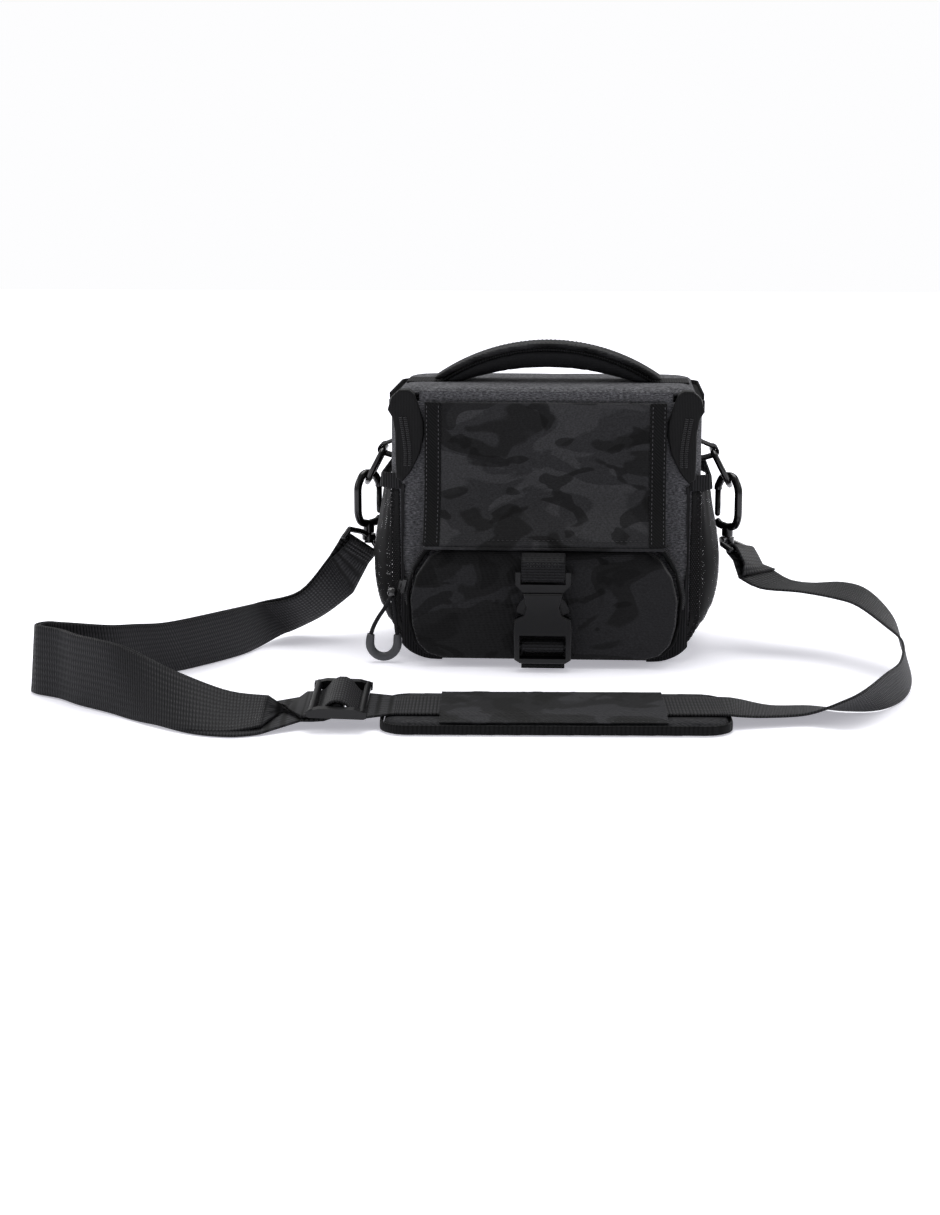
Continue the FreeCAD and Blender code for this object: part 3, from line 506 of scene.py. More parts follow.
SIDES = (("left", -1), ("right", 1))
HORN_FACE_Y = -56.95
HORN_LINE = [(82.4, 143.0), (81.2, 136.0), (80.2, 129.0), (79.6, 122.0), (79.8, 115.5)]
binding_black = ribbed("smooth_binding_tape", "#171718", 0.0009, 0.06, 0.5)
for side, sign in SIDES:
    softened("horn_" + side, "zip_gusset_" + side, 0.6, 4, binding_black, "bag", "zip_tape")
    columns = [[Vector((sign * (x + step), HORN_FACE_Y, z)) for x, z in HORN_LINE] for step in (-1.3, 1.3)]
    bm = tooth_row([p for line in columns for p in along(line, 24)], (0.6, 0.7, 1.9))
    piece("horn_coil_" + side, bm, coil_black, "bag", "zip_teeth", "gusset_zip_teeth_" + side)

# ---- lid -------------------------------------------------------------------------------------
# Padded lid in the same heather, its front corners cut back for the horns, hinged along its
# front edge where it is sewn to the body, and lined inside with quilted loop cloth.
lid = piece("lid_pad", puffed(soft_copy("lid_panel", 3.0, 2), 3.0, 1.3), heather_grey, "lid",
            "heather_fabric", "lid_panel")


LINING_HALF, LINING_FRONT, LINING_BACK, LINING_Z = 88.0, -53.2, 52.8, 153.3
LINING_CORNER = 12.5
QUILT = 22.0                   # between the rows of quilting


def lid_inside(u, v):
    x, y = -LINING_HALF + 2 * LINING_HALF * u, LINING_FRONT + (LINING_BACK - LINING_FRONT) * v
    edge = min(LINING_HALF - abs(x), y - LINING_FRONT, LINING_BACK - y)
    quilt = 0.35 * abs(math.sin(x / QUILT * math.pi) * math.sin(y / QUILT * math.pi)) ** 0.5
    return (x, y, LINING_Z - quilt * min(1.0, edge / 6.0))


def trimmed(face):
    """Whether a face lies past the lining's round corners or in a horn's notch."""
    x, y, _ = face.calc_center_median() / MM
    corner = Vector((max(abs(x) - LINING_HALF + LINING_CORNER, 0),
                     max(abs(y - 0.5) - LINING_BACK + LINING_CORNER, 0)))
    return (abs(x) > 72.5 and y < -44.5) or corner.length > LINING_CORNER


bm = patch(116, 70, lid_inside, (176, 104))
bmesh.ops.delete(bm, geom=[face for face in bm.faces if trimmed(face)], context="FACES")
thickness(piece("lid_lining_cloth", bm, brushed_lining, "lid", "lining_fabric", "lid_lining"), 0.6)


# The lid's front edge is one strip of heather turned down over the body's rim; on the bag it bends as the
# lid opens, so it is the cloth hinge, but here it is one fixed strip.
FOLD_HALF, FOLD_LOW, FOLD_HIGH = 73.0, (-53.6, 152.3), (-53.3, 158.3)


def fold_at(u, v):
    x = -FOLD_HALF + 2 * FOLD_HALF * u
    waver = 0.15 * noise.noise(Vector((x / 20.0, v * 3.0, 0.5)))
    return (x, FOLD_LOW[0] + (FOLD_HIGH[0] - FOLD_LOW[0]) * v ** 2 + waver,
            FOLD_LOW[1] + (FOLD_HIGH[1] - FOLD_LOW[1]) * v)


fold = thickness(mesh_object("lid_fold", patch(90, 12, fold_at, (2 * FOLD_HALF, 7)), heather_grey), 0.5)
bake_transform(fold)


# ---- carry handle ----------------------------------------------------------------------------
# A webbing strap arches over the lid between the horns. A foam grip fills the arch below it, and
# a camouflage cover with a stitched border is wrapped over the top.
def camouflage(name, tones, size=1.0):
    """Jacquard cloth: long soft-edged blobs in close dark greys over crossed threads."""
    mat, shader = material(name, tones[1], 0.6, **CLOTH)
    big = specks(mat, placed(mat, "Object", (19 / size, 19 / size, 34 / size)),
                 Detail=1.8, Roughness=0.45, Distortion=1.1)
    small = specks(mat, placed(mat, "Object", (30 / size, 30 / size, 56 / size), (0.3, 0, 0.4)),
                   Detail=1.6, Distortion=0.9)
    base = stops(mat, big, [(0.0, tones[0]), (0.40, tones[0]), (0.425, tones[1]),
                            (0.52, tones[1]), (0.545, tones[2]), (1.0, tones[2])])
    patchy = stops(mat, small, [(0.0, "#a6a6a6"), (0.40, "#a6a6a6"), (0.42, "#ffffff"), (1.0, "#ffffff")])
    flecks = specks(mat, placed(mat, "Object", (900, 900, 1300)), Detail=2.0)
    fleck = stops(mat, flecks, [(0.3, "#c4c4c4"), (0.7, "#ffffff")])
    tint = multiply(mat, multiply(mat, base, patchy), fleck)
    return finish(mat, shader, tint, thread_relief(mat, 0.0010), 0.10)


flap_camouflage = camouflage("camouflage_jacquard_flap", ("#1b1b1c", "#2d2d2f", "#3a3a3c"))
dark_camouflage = camouflage("camouflage_jacquard_pocket", ("#0e0e0f", "#181819", "#262628"))
pad_camouflage = camouflage("camouflage_jacquard_pad", ("#060607", "#151517", "#29292c"), size=0.7)
handle_camouflage = camouflage("camouflage_jacquard_handle", ("#111112", "#1e1e20", "#2a2a2c"), size=0.8)
grip_cloth, shader = material("padded_grip_cloth", "#18181a", 0.75, **CLOTH)
finish(grip_cloth, shader, None, thread_relief(grip_cloth, 0.001), 0.08)
webbing_ribs = ribbed("ribbed_handle_webbing", "#1b1b1d", 0.0015, 0.2)

piece("handle_top", puffed(soft_copy("handle_cover", 1.6, 2), 2.0, 0.7), handle_camouflage, "lid",
      "camo_fabric", "handle_cover")
grip = piece("handle_foam", puffed(soft_copy("handle_grip", 2.2, 2), 2.0, 0.6), grip_cloth, "lid",
             "pad_fabric", "handle_grip")
softened("handle_strap", "handle_webbing", 0.75, 2, webbing_ribs, "lid", "webbing")

# Lockstitch in bonded thread, grey or black: short raised beads, 2.6 mm apart.
thread_grey = material("bonded_grey_thread", "#4a4a4d", 0.5)[0]
thread_black = material("bonded_black_thread", "#242426", 0.45)[0]


def stitches(name, lines, body, slot, mat, pitch=2.6, size=(1.7, 0.45, 0.3)):
    """Beads of thread laid along lines of points in millimetres."""
    bm = bmesh.new()
    for line in lines:
        line = [Vector(p) for p in line]
        length = sum((b - a).length for a, b in zip(line, line[1:]))
        run = along(line, max(2, round(length / pitch)))
        for i in range(len(run) - 1):
            turn = (run[i + 1] - run[i]).to_track_quat("X", "Z").to_matrix().to_4x4()
            spot = Matrix.Translation((run[i] + run[i + 1]) / 2 * MM) @ turn
            bmesh.ops.create_icosphere(bm, subdivisions=1, radius=0.5, matrix=spot @ Matrix.Diagonal(
                (size[0] * MM, size[1] * MM, size[2] * MM, 1)))
    return piece(name, bm, mat, body, slot)


HANDLE_HALF, HANDLE_RISE, HANDLE_CREST = 71.5, 24.3, 183.0
HANDLE_R = (HANDLE_HALF ** 2 + HANDLE_RISE ** 2) / (2 * HANDLE_RISE)
SEAM_SPAN = 36.5               # degrees to each side of the crest


def arch(y):
    """Line over the handle, just proud of its cover."""
    radius, middle = HANDLE_R + 0.15, HANDLE_CREST - HANDLE_R
    turns = [math.radians(SEAM_SPAN * (k / 30 - 1)) for k in range(61)]
    return [(radius * math.sin(t), y, middle + radius * math.cos(t)) for t in turns]


stitches("handle_seam", [arch(-12.0), arch(12.0)], "lid", "camo_fabric", thread_black)


# ---- front flap ------------------------------------------------------------------------------
# Heather backing with a camouflage face between two twill tapes. The cloth falls from the body's
# rim, stands forward over the pocket, and rolls under at its hem, where the buckle is sewn.
FLAP_LINE = [(-54.5, 151.8), (-55.6, 140.0), (-56.2, 120.0), (-57.6, 104.0), (-61.0, 90.0),
             (-67.2, 78.0), (-72.0, 69.5)]
FLAP_HALF, FLAP_DROP, FLAP_STEPS = 69.5, 88.0, 90


def between(four, t):
    """Smooth curve through four rows of numbers, t of the way from the second to the third."""
    return [0.5 * (2 * b + (c - a) * t + (2 * a - 5 * b + 4 * c - d) * t * t
                   + (3 * b - a - 3 * c + d) * t ** 3) for a, b, c, d in zip(*four)]


def spline(rows, count):
    """Even points along a smooth line through rows of numbers."""
    ends = [rows[0]] + list(rows) + [rows[-1]]
    fine = [Vector(between(ends[i - 1:i + 3], step / 12))
            for i in range(1, len(ends) - 2) for step in range(12)]
    return along(fine + [Vector(rows[-1])], count)


flap_curve = spline([Vector((0, y, z)) for y, z in FLAP_LINE], FLAP_STEPS)


def flap_at(x, s, off):
    """Point on the flap, x across, s from top to hem, off in front of its back face."""
    i = min(int(s * FLAP_STEPS), FLAP_STEPS - 1)
    at = flap_curve[i].lerp(flap_curve[i + 1], s * FLAP_STEPS - i)
    run = (flap_curve[i + 1] - flap_curve[i]).normalized()
    out = Vector((0, run.z, -run.y))
    loose = min(1.0, s * 3.0)
    ripple = 0.55 * noise.noise(Vector((x / 26.0, s * 2.2, 3.1))) + 0.35 * noise.noise(
        Vector((x / 9.0, s * 5.0, 7.7))) * s
    crown = 0.9 * math.sin(math.pi * s) * math.cos(x / FLAP_HALF * math.pi / 2)
    at = at + out * (off + loose * (ripple + 0.5) + crown)
    return Vector((x, at.y, at.z))


def flap_patch(x0, x1, off, nx, ny):
    return patch(nx, ny, lambda u, v: flap_at(x0 + (x1 - x0) * u, v, off), (x1 - x0, FLAP_DROP))


backing = piece("flap_backing", flap_patch(-FLAP_HALF, FLAP_HALF, 1.25, 110, 70), heather_grey, "flap",
                "heather_fabric", "flap_panel")
thickness(backing, 2.2, 0.0, 0.5)
face = piece("flap_face", flap_patch(-60.0, 60.0, 2.72, 110, 70), flap_camouflage, "flap", "camo_fabric",
             "flap_camo")
thickness(face, 0.5)

twill_black = ribbed("diagonal_twill_tape", "#121213", 0.0014, 0.18, 0.7, 45, "UV")
TWILL_IN, TWILL_OUT = 60.2, 69.6
for side, sign in SIDES:
    x0, x1 = sorted((sign * TWILL_IN, sign * TWILL_OUT))
    edging = piece("flap_edge_" + side, flap_patch(x0, x1, 2.85, 8, 90), twill_black, "flap", "twill_tape",
                   "flap_tape_" + side)
    thickness(edging, 0.8, 0.0, 0.3)
    seams = [[flap_at(sign * x, s / 60, 3.35) for s in range(1, 60)]
             for x in (TWILL_IN + 1.4, TWILL_OUT - 1.2)]
    stitches("flap_seam_" + side, seams, "flap", "twill_tape", thread_grey)


# The hem is the face cloth rolled under, a soft cord along the lower edge.
def roll(u, v):
    x = -68.6 + 137.2 * v
    at = flap_at(x, 1.0, 1.55)
    t = 2 * math.pi * u
    return (x, at.y + 1.75 * math.cos(t), at.z - 0.5 + 1.15 * math.sin(t))


def closed_tube(bm):
    """Joins the seam of a tube made from a patch, closes its ends and turns its faces out."""
    bmesh.ops.remove_doubles(bm, verts=bm.verts, dist=0.000005)
    rims = [e for e in bm.edges if e.is_boundary]
    bmesh.ops.holes_fill(bm, edges=rims, sides=0)
    bmesh.ops.recalc_face_normals(bm, faces=bm.faces)
    return bm


piece("flap_roll", closed_tube(patch(12, 110, roll, (9, 137))), flap_camouflage, "flap", "base_skin",
      "flap_hem")
stitches("flap_hem_seam", [[flap_at(-59 + 118 * k / 60, 0.955, 3.12) for k in range(61)]], "flap",
         "camo_fabric", thread_black)


# ---- front pocket ----------------------------------------------------------------------------
# A pouch in darker camouflage, boxed out by a black gusset with a coil zip round its rim. The
# empty cloth creases from the corners and lies flat behind the buckle.
def crease(at):
    """How far the pocket's face is pushed in or out, in millimetres."""
    x, z = at.x / MM, at.z / MM
    fold = 0.0
    for cx, cz, tilt, wide, reach, deep in (
            (-38, 44, 0.9, 5.0, 24, 0.9), (-52, 52, 0.6, 4.0, 18, -0.7), (34, 47, -0.8, 5.0, 26, 0.9),
            (50, 40, -1.1, 4.5, 20, -0.7), (-30, 22, 0.3, 6.0, 26, 0.7), (44, 18, -0.4, 6.0, 24, 0.8),
            (-58, 26, 1.3, 4.0, 22, 0.7), (62, 28, -1.4, 4.0, 20, -0.5), (24, 60, -0.3, 4.0, 18, -0.6)):
        dx, dz = x - cx, z - cz
        a, b = dx * math.cos(tilt) + dz * math.sin(tilt), -dx * math.sin(tilt) + dz * math.cos(tilt)
        fold += deep * math.exp(-(b / wide) ** 2 - (a / reach) ** 2)
    fold += 0.5 * noise.noise(Vector((x / 17, 0, z / 13)))
    return fold * min(1.0, max(0.0, (abs(x) - 13) / 8))


POCKET_FACE_Y = -66.5          # what lies in front of this is the pocket's face
CREASE_SHARE = 0.95
bm = soft_copy("front_pocket", 1.1, 3)
for vert in bm.verts:
    if vert.co.y < POCKET_FACE_Y * MM:
        vert.co.y += CREASE_SHARE * crease(vert.co) * MM
piece("pocket_front", bm, dark_camouflage, "bag", "camo_fabric", "front_pocket")
softened("pocket_gusset_band", "pocket_gusset", 0.8, 2, woven_tape, "bag", "zip_tape")
POCKET = [(-79.0, 33.0), (-80.6, 40.0), (-77.2, 55.0), (-70.2, 66.2), (-60.2, 71.8), (60.2, 71.8),
          (70.2, 66.2), (77.2, 55.0), (80.6, 40.0), (79.9, 33.0)]
line = spline([Vector((x, -58.9, z)) for x, z in POCKET], 200)
piece("pocket_coil", tooth_row(line, (0.75, 2.6, 0.5), "Y"), coil_black, "bag", "zip_teeth",
      "pocket_zip_teeth")
rim = [Vector((x * 0.945, -75.45, 36 + (z - 36) * 0.9)) for x, z in
       ((-79.6, 60), (-80.5, 40), (-79.6, 24), (-76.5, 12), (-70, 5), (-60, 2.2), (-20, 2.2))]
stitches("pocket_seam", [rim, [Vector((-p.x, p.y, p.z)) for p in rim]], "bag", "camo_fabric", thread_black)


# ---- pocket pull -----------------------------------------------------------------------------
# Thin braided cord doubled from a knot at the slider; its bend is moulded into a soft U tip.
PULL = [(-89.3, -63.4, 38.8), (-92.6, -64.2, 32.6), (-96.6, -64.7, 27.0), (-99.8, -65.0, 21.0),
        (-101.6, -65.0, 14.8), (-101.7, -65.0, 8.2), (-97.0, -65.0, 3.5), (-90.4, -65.0, 3.5),
        (-85.7, -65.0, 8.2), (-85.3, -65.0, 15.0), (-86.3, -64.7, 22.0), (-86.7, -64.1, 29.0),
        (-87.8, -63.4, 35.6), (-87.9, -63.2, 38.4)]
CORD_D = 2.5
braid, shader = material("braided_black_cord", "#1a1a1c", 0.6, **CLOTH)
strands = waves(braid, placed(braid, "Object", (1, 1, 1), (0.6, 0.6, 0.3)), 0.0011, "Z")
finish(braid, shader, None, strands, 0.15)


def cord_curve(name, depth):
    """The cord's line as a curve; depth is its radius in metres."""
    curve = bpy.data.curves.new(name, "CURVE")
    curve.dimensions, curve.bevel_depth, curve.bevel_resolution = "3D", depth, 4
    route = curve.splines.new("NURBS")
    route.points.add(len(PULL) - 1)
    for point, at in zip(route.points, PULL):
        point.co = (at[0] * MM, at[1] * MM, at[2] * MM, 1.0)
    route.order_u, route.use_endpoint_u, route.resolution_u = 3, True, 10
    curve.use_fill_caps = True
    return link(bpy.data.objects.new(name, curve))


bare = cord_curve("bare_line", 0.0)
bare_mesh = bpy.data.meshes.new_from_object(bare.evaluated_get(bpy.context.evaluated_depsgraph_get()))
cord_line = [v.co / MM for v in bare_mesh.vertices]
bpy.data.objects.remove(bare)
pull = cord_curve("pull_cord_loop", CORD_D / 2 * MM)
pull.data.materials.append(braid)
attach(pull, "pull")
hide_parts("pull_cord")

TIP_TOP, TIP_RADIUS, TIP_STEPS = 17.0, 2.6, 60
tip_line = along([p for p in cord_line if p.z < TIP_TOP], TIP_STEPS)


def tip_skin(u, v):
    """Skin of the moulded tip, fuller in its middle than at its two ends."""
    i = round(v * TIP_STEPS)
    run = (tip_line[min(i + 1, TIP_STEPS)] - tip_line[max(i - 1, 0)]).normalized()
    side = run.cross(Vector((0, 1, 0))).normalized()
    swell = TIP_RADIUS * (1 - 0.18 * (2 * v - 1) ** 8)
    t = 2 * math.pi * u
    return tip_line[i] + side * (swell * math.cos(t)) + Vector((0, 1, 0)) * (swell * math.sin(t))


soft_rubber = grained("moulded_soft_rubber", "#3a3b3e", 0.55, 1500, 0.03)
tip = piece("pull_grip", closed_tube(patch(16, TIP_STEPS, tip_skin)), soft_rubber, "pull", "pull_rubber",
            "pull_tip")

bm = bmesh.new()
bmesh.ops.create_uvsphere(bm, u_segments=28, v_segments=18, radius=3.1 * MM)
for vert in bm.verts:
    turn = math.atan2(vert.co.y, vert.co.x)
    vert.co *= 0.94 + 0.06 * math.sin(3 * turn + vert.co.z / MM * 1.6)
bmesh.ops.translate(bm, vec=Vector((-88.4, -63.0, 41.6)) * MM, verts=bm.verts)
waxed_knot, shader = material("waxed_cord_knot", "#0d0d0e", 0.22, Coat_Weight=0.4)
twist = waves(waxed_knot, placed(waxed_knot, "Object", (1, 1, 1), (0.5, 0, 0.7)), 0.0012)
finish(waxed_knot, shader, None, twist, 0.1)
piece("pull_knot_wound", bm, waxed_knot, "pull", "cord", "pull_knot")


# ---- mesh side pockets -----------------------------------------------------------------------
# Stretch mesh gathered under an elastic hem at each end of the body. The holes are about 2 mm
# apart, so light comes through where the net stands away from the cloth behind it.
SIDE_XZ = [(80.0, 7.0), (88.5, 13.5), (95.5, 21.0), (100.6, 31.0), (103.2, 43.0), (103.6, 58.0),
           (101.6, 75.0), (98.4, 91.0), (97.0, 101.0)]
SIDE_XY = [(85.2, -52.0), (95.0, -45.0), (101.0, -34.0), (103.6, -20.0), (103.6, -10.0),
           (101.6, 4.0), (98.5, 20.0), (95.5, 34.0), (91.8, 46.6)]
NET_OUT, NET_TOP, NET_STEPS = 103.6, 100.5, 110
side_rows = spline([Vector((0, x, z)) for x, z in SIDE_XZ], 70)
side_plan = spline([Vector((x, y, 0)) for x, y in SIDE_XY], NET_STEPS)


def side_at(u, z, inset, sign):
    """Point on the net, u round from front to back at height z, inset towards the body."""
    at = side_plan[round(u * NET_STEPS)]
    row = min(side_rows, key=lambda p: abs(p.z - z))
    room = BODY_HALF if z > BELLY + BODY_BASE else BODY_HALF - BELLY + math.sqrt(
        max(0.0, BELLY ** 2 - (BELLY + BODY_BASE - max(z, 7.0)) ** 2))
    reach = min(1.0, max(0.0, (row.y - room + 4.0) / (NET_OUT - BODY_HALF + 4.0)))
    x = min(room - 4.0 + (at.x - 86.5) * max(reach, 0.12), row.y)
    gather = 0.35 * math.sin(u * 75) * math.exp(-(NET_TOP - z) / 18.0)
    return Vector((sign * (max(x, room + 0.8 if 0.06 < u < 0.95 else 0) - inset + gather), at.y, z))


mesh_net, shader = material("stretch_mesh", "#0c0c0d", 0.6, **CLOTH)
rise, fall = (waves(mesh_net, placed(mesh_net, "UV", (1, 1, 1), (0, 0, math.radians(turn))), 0.0017)
              for turn in (45, -45))
solid = combined(mesh_net, "LESS_THAN", combined(mesh_net, "MULTIPLY", rise, fall), 0.42)
mesh_net.node_tree.links.new(solid, shader.inputs["Alpha"])

elastic = ribbed("ribbed_elastic_hem", "#1f1f21", 0.0016, 0.3)
NET_BASE, NET_HIGH = 7.5, 93.0
for side, sign in SIDES:
    bm = patch(NET_STEPS, 60, lambda u, v: side_at(u, NET_BASE + NET_HIGH * v, 0.6, sign), (150, NET_HIGH))
    thickness(piece("net_" + side, bm, mesh_net, "bag", "mesh", "side_pocket_" + side), 0.5)
    softened("net_hem_" + side, "side_pocket_hem_" + side, 0.7, 3, elastic, "bag", "grosgrain")
    softened("corner_binding_" + side, "side_binding_" + side, 0.6, 2, elastic, "bag", "grosgrain")


# ---- webbing on the buckle -------------------------------------------------------------------
# Ribbed polypropylene webbing, 25 mm wide: folded round the plug's bar and sewn behind the hem,
# and threaded over the socket's ladder with its tail hanging below.
def band(sections, width, thick):
    """Webbing along sections of (centre, across, normal), closed, with ribs in its UV map."""
    half, t = width / 2, thick / 2
    ring = [(-half, 0), (-half + 0.25, t * 0.75), (-half + 0.9, t)]
    ring += [(-half + 0.9 + (width - 1.8) * k / 8, t) for k in range(1, 9)]
    ring += [(half - 0.25, t * 0.75), (half, 0), (half - 0.25, -t * 0.75), (half - 0.9, -t)]
    ring += [(half - 0.9 - (width - 1.8) * k / 8, -t) for k in range(1, 9)]
    ring += [(-half + 0.25, -t * 0.75), (-half, 0)]
    length = sum((b[0] - a[0]).length for a, b in zip(sections, sections[1:]))
    n, m = len(ring) - 1, len(sections) - 1

    def place(u, v):
        a, b = ring[round(u * n)]
        centre, across, normal = sections[round(v * m)]
        return centre + across * a + normal * b
    return closed_tube(patch(n, m, place, (2 * width, length)))


def flat_run(points, across, count):
    """Sections along a line that keeps one direction across."""
    line = along([Vector(p) for p in points], count)
    across, out = Vector(across), []
    for i, at in enumerate(line):
        run = (line[min(i + 1, count)] - line[max(i - 1, 0)]).normalized()
        out.append((at, across, run.cross(across).normalized()))
    return out


def webbing(name, colour, pitch):
    """Rows of ribs across the webbing, broken by the lengthwise warp; the grooves between the ribs carry
    painted shade.
    """
    mat, shader = material(name, colour, 0.55, **CLOTH)
    at = placed(mat, "UV", (1, 1, 1))
    ribs = waves(mat, at, pitch, "Y", **{"Distortion": 0.5, "Detail": 1.0, "Detail Scale": 2.0})
    height = combined(mat, "MULTIPLY", ribs, waves(mat, at, 0.0023))
    # painted shade: the colour is darkened in the grooves between the ribs
    shade = stops(mat, ribs, [(0.05, "#6e6e6e"), (0.55, "#ffffff")])
    return finish(mat, shader, multiply(mat, linear(colour), shade), height, 0.35)


narrow_webbing = webbing("polypropylene_webbing_25", "#1f1f21", 0.0016)
wide_webbing = webbing("polypropylene_webbing_38", "#2a2a2c", 0.0016)
NARROW_T = 1.3


def bow(level, height, radius, turns):
    """Points round a bar's middle, with turns in degrees from straight below it."""
    return [(level + radius * math.sin(math.radians(a)), height - radius * math.cos(math.radians(a)))
            for a in turns]


BUCKLE_Y, BAR_Z, LADDER_Z = -83.0, 55.4, 14.8
loop = [(BUCKLE_Y + 6.2, 67.6), (BUCKLE_Y + 1.5, 66.2), (BUCKLE_Y - 1.6, 64.4),
        (BUCKLE_Y - 2.55, 62.5), (BUCKLE_Y - 2.55, 56.5)]
loop += bow(BUCKLE_Y, BAR_Z, 2.55, range(-75, 91, 15))
loop += [(BUCKLE_Y + 2.55, 58.5), (BUCKLE_Y + 2.55, 63.2), (BUCKLE_Y + 3.4, 64.6)]
strap = flat_run([(0, y, z) for y, z in loop], (1, 0, 0), 60)
piece("plug_strap", band(strap, 25.0, NARROW_T), narrow_webbing, "plug", "webbing", "plug_webbing")
loop = [(-75.9, 17.55), (-79.0, 17.55), (-82.0, 17.6)]
loop += bow(BUCKLE_Y, LADDER_Z, 2.75, range(180, 361, 15))
loop += [(-80.0, 12.0), (-78.4, 11.2), (-77.7, 9.0), (-77.65, 5.0), (-77.65, 0.8)]
strap = flat_run([(0, y, z) for y, z in loop], (1, 0, 0), 70)
piece("socket_strap", band(strap, 25.0, NARROW_T), narrow_webbing, "bag", "webbing", "socket_webbing")
box_tack = [[(-9.5, -86.25, 63.6), (9.5, -86.25, 63.6)], [(-9.5, -86.25, 61.9), (9.5, -86.25, 61.9)]]
stitches("plug_tack", box_tack, "plug", "webbing", thread_black, 1.7, (1.3, 0.4, 0.3))


# ---- side release buckle, rings, hooks and adjuster ------------------------------------------
# Injection-moulded acetal, spark-eroded satin: near black, with soft highlights on its round
# edges and a very fine grain.
satin_acetal = grained("satin_moulded_acetal", "#08080a", 0.34, 2200, 0.02, 1.0, Specular_IOR_Level=0.3)
gloss_acetal = grained("polished_moulded_acetal", "#0c0c0d", 0.2, 120, 0.03, Specular_IOR_Level=0.45)
dress(satin_acetal, "buckle_plug", "buckle_socket", "prong_left", "prong_right", "adjuster")
dress(gloss_acetal, "d_ring_left", "d_ring_right", "hook_left", "hook_right", "swivel_base_left",
      "swivel_base_right")

# Each gate is a sprung bar, drawn out so that its nose closes against the hook's tip.
NOSE_REACH = 1.105
for side, _ in SIDES:
    bm = cad_mesh("gate_" + side)
    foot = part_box("gate_" + side)[0].z
    bmesh.ops.scale(bm, vec=(1, 1, NOSE_REACH), space=Matrix.Translation((0, 0, -foot)), verts=bm.verts)
    piece("gate_bar_" + side, bm, gloss_acetal, "gate_" + side, "buckle_plastic", "gate_" + side)

# Each D-ring hangs in a folded tab of webbing sewn into the hem of the side pocket.
RING_Y, TAB_W = 9, 17.2
tab = [(91.2, 112.4), (95.0, 112.8)] + bow(99.6, 117.0, 3.0, range(-10, 191, 20))
tab += [(95.0, 121.6), (91.2, 123.4)]
for side, sign in SIDES:
    folded = flat_run([(sign * x, RING_Y, z) for x, z in tab], (0, 1, 0), 40)
    piece("ring_fold_" + side, band(folded, TAB_W, NARROW_T), narrow_webbing, "bag", "webbing",
          "ring_tab_" + side)


# ---- shoulder strap --------------------------------------------------------------------------
# One length of 38 mm webbing, in rows of its two edges: from the right hook's base through the
# pad's sleeve and over the adjuster to the left hook's base, and back as a second layer that is
# sewn round the adjuster's middle bar.
LEFT_RUN = [
    (-121.6, 11.4, 27.6, -131.6, -14.6, 53.1),
    (-139.3, 7.7, 14.6, -148.4, -23.7, 33.9), (-160.9, 2.5, 4.0, -172.6, -25.0, 27.0),
    (-179.3, -46.0, 0.9, -186.6, -68.0, 30.6), (-204.3, -86.7, 0.9, -212.2, -107.4, 31.5),
    (-223.3, -108.0, 0.9, -227.1, -125.7, 34.0), (-236.6, -126.0, 0.9, -238.0, -139.3, 36.2),
    (-250.7, -138.0, 0.9, -251.8, -144.1, 37.7), (-264.4, -146.0, 0.9, -263.5, -144.2, 38.5),
    (-276.5, -144.6, 0.9, -272.5, -140.0, 38.0), (-280.4, -149.9, 0.9, -277.2, -145.0, 38.0),
    (-276.0, -157.0, 0.9, -275.5, -151.5, 38.0), (-261.0, -166.9, 0.9, -262.6, -159.0, 38.0),
    (-246.4, -180.6, 0.9, -249.0, -172.7, 37.5), (-223.2, -198.8, 0.9, -226.3, -189.5, 37.0),
    (-199.8, -219.5, 1.2, -204.2, -195.5, 30.2), (-177.2, -234.5, 2.4, -181.2, -203.4, 22.2),
    (-156.0, -238.0, 2.6, -160.2, -202.6, 14.8), (-139.5, -232.0, 4.4, -141.5, -195.0, 10.9)]
RIGHT_RUN = [
    (106.0, -170.0, 6.6, 103.6, -207.8, 7.0), (123.5, -166.5, 2.4, 118.5, -203.8, 5.8),
    (145.2, -161.8, 1.3, 141.0, -199.0, 6.5), (163.0, -168.5, 1.1, 158.8, -203.6, 15.0),
    (182.0, -165.3, 1.1, 169.3, -195.5, 18.3), (197.6, -140.5, 1.1, 184.1, -167.8, 21.1),
    (206.0, -109.5, 4.5, 195.5, -140.5, 22.0), (204.5, -80.5, 17.0, 199.5, -115.5, 27.5),
    (202.0, -54.7, 29.0, 193.0, -90.3, 31.3), (190.3, -33.7, 40.1, 180.3, -70.3, 37.9),
    (177.6, -17.4, 41.6, 169.5, -54.5, 39.0), (160.6, -2.9, 38.1, 149.7, -39.1, 39.9),
    (147.7, 1.0, 39.3, 127.2, -31.0, 40.3), (137.0, 4.6, 44.8, 114.9, -26.0, 45.6)]
STRAP_W, WEB_T = 38.0, 1.5
ADJ_AT = Vector((-102.5, -203.5, 12.4))
ADJ_RUN = Vector((1.0, 0.03, -0.03)).normalized()
ADJ_ACROSS = Vector((-0.03, 0.99, 0.10)).normalized()
ADJ_UP = ADJ_RUN.cross(ADJ_ACROSS).normalized()
BAR_L, BAR_R = Vector((-115.5, 1.5, 57.6)), Vector((117.4, -2.0, 57.6))
ACROSS_L = Vector((-0.292, -0.868, 0.403)).normalized()
ACROSS_R = Vector((-0.36, -0.91, 0.19)).normalized()
PAD_AT, PAD_TURN = Vector((9.5, -193.0, 0.0)), math.radians(2.6)
PAD_RUN = Vector((math.cos(PAD_TURN), math.sin(PAD_TURN), 0))
PAD_ACROSS = Vector((-math.sin(PAD_TURN), math.cos(PAD_TURN), 0))


def adj_point(x, z):
    """Point on the adjuster, along its run and up from its middle bar."""
    return ADJ_AT + ADJ_RUN * x + ADJ_UP * z


def plain_row(centre, across):
    """Row of the webbing's two edges about its centre."""
    return (*(centre + across * (STRAP_W / 2)), *(centre - across * (STRAP_W / 2)))


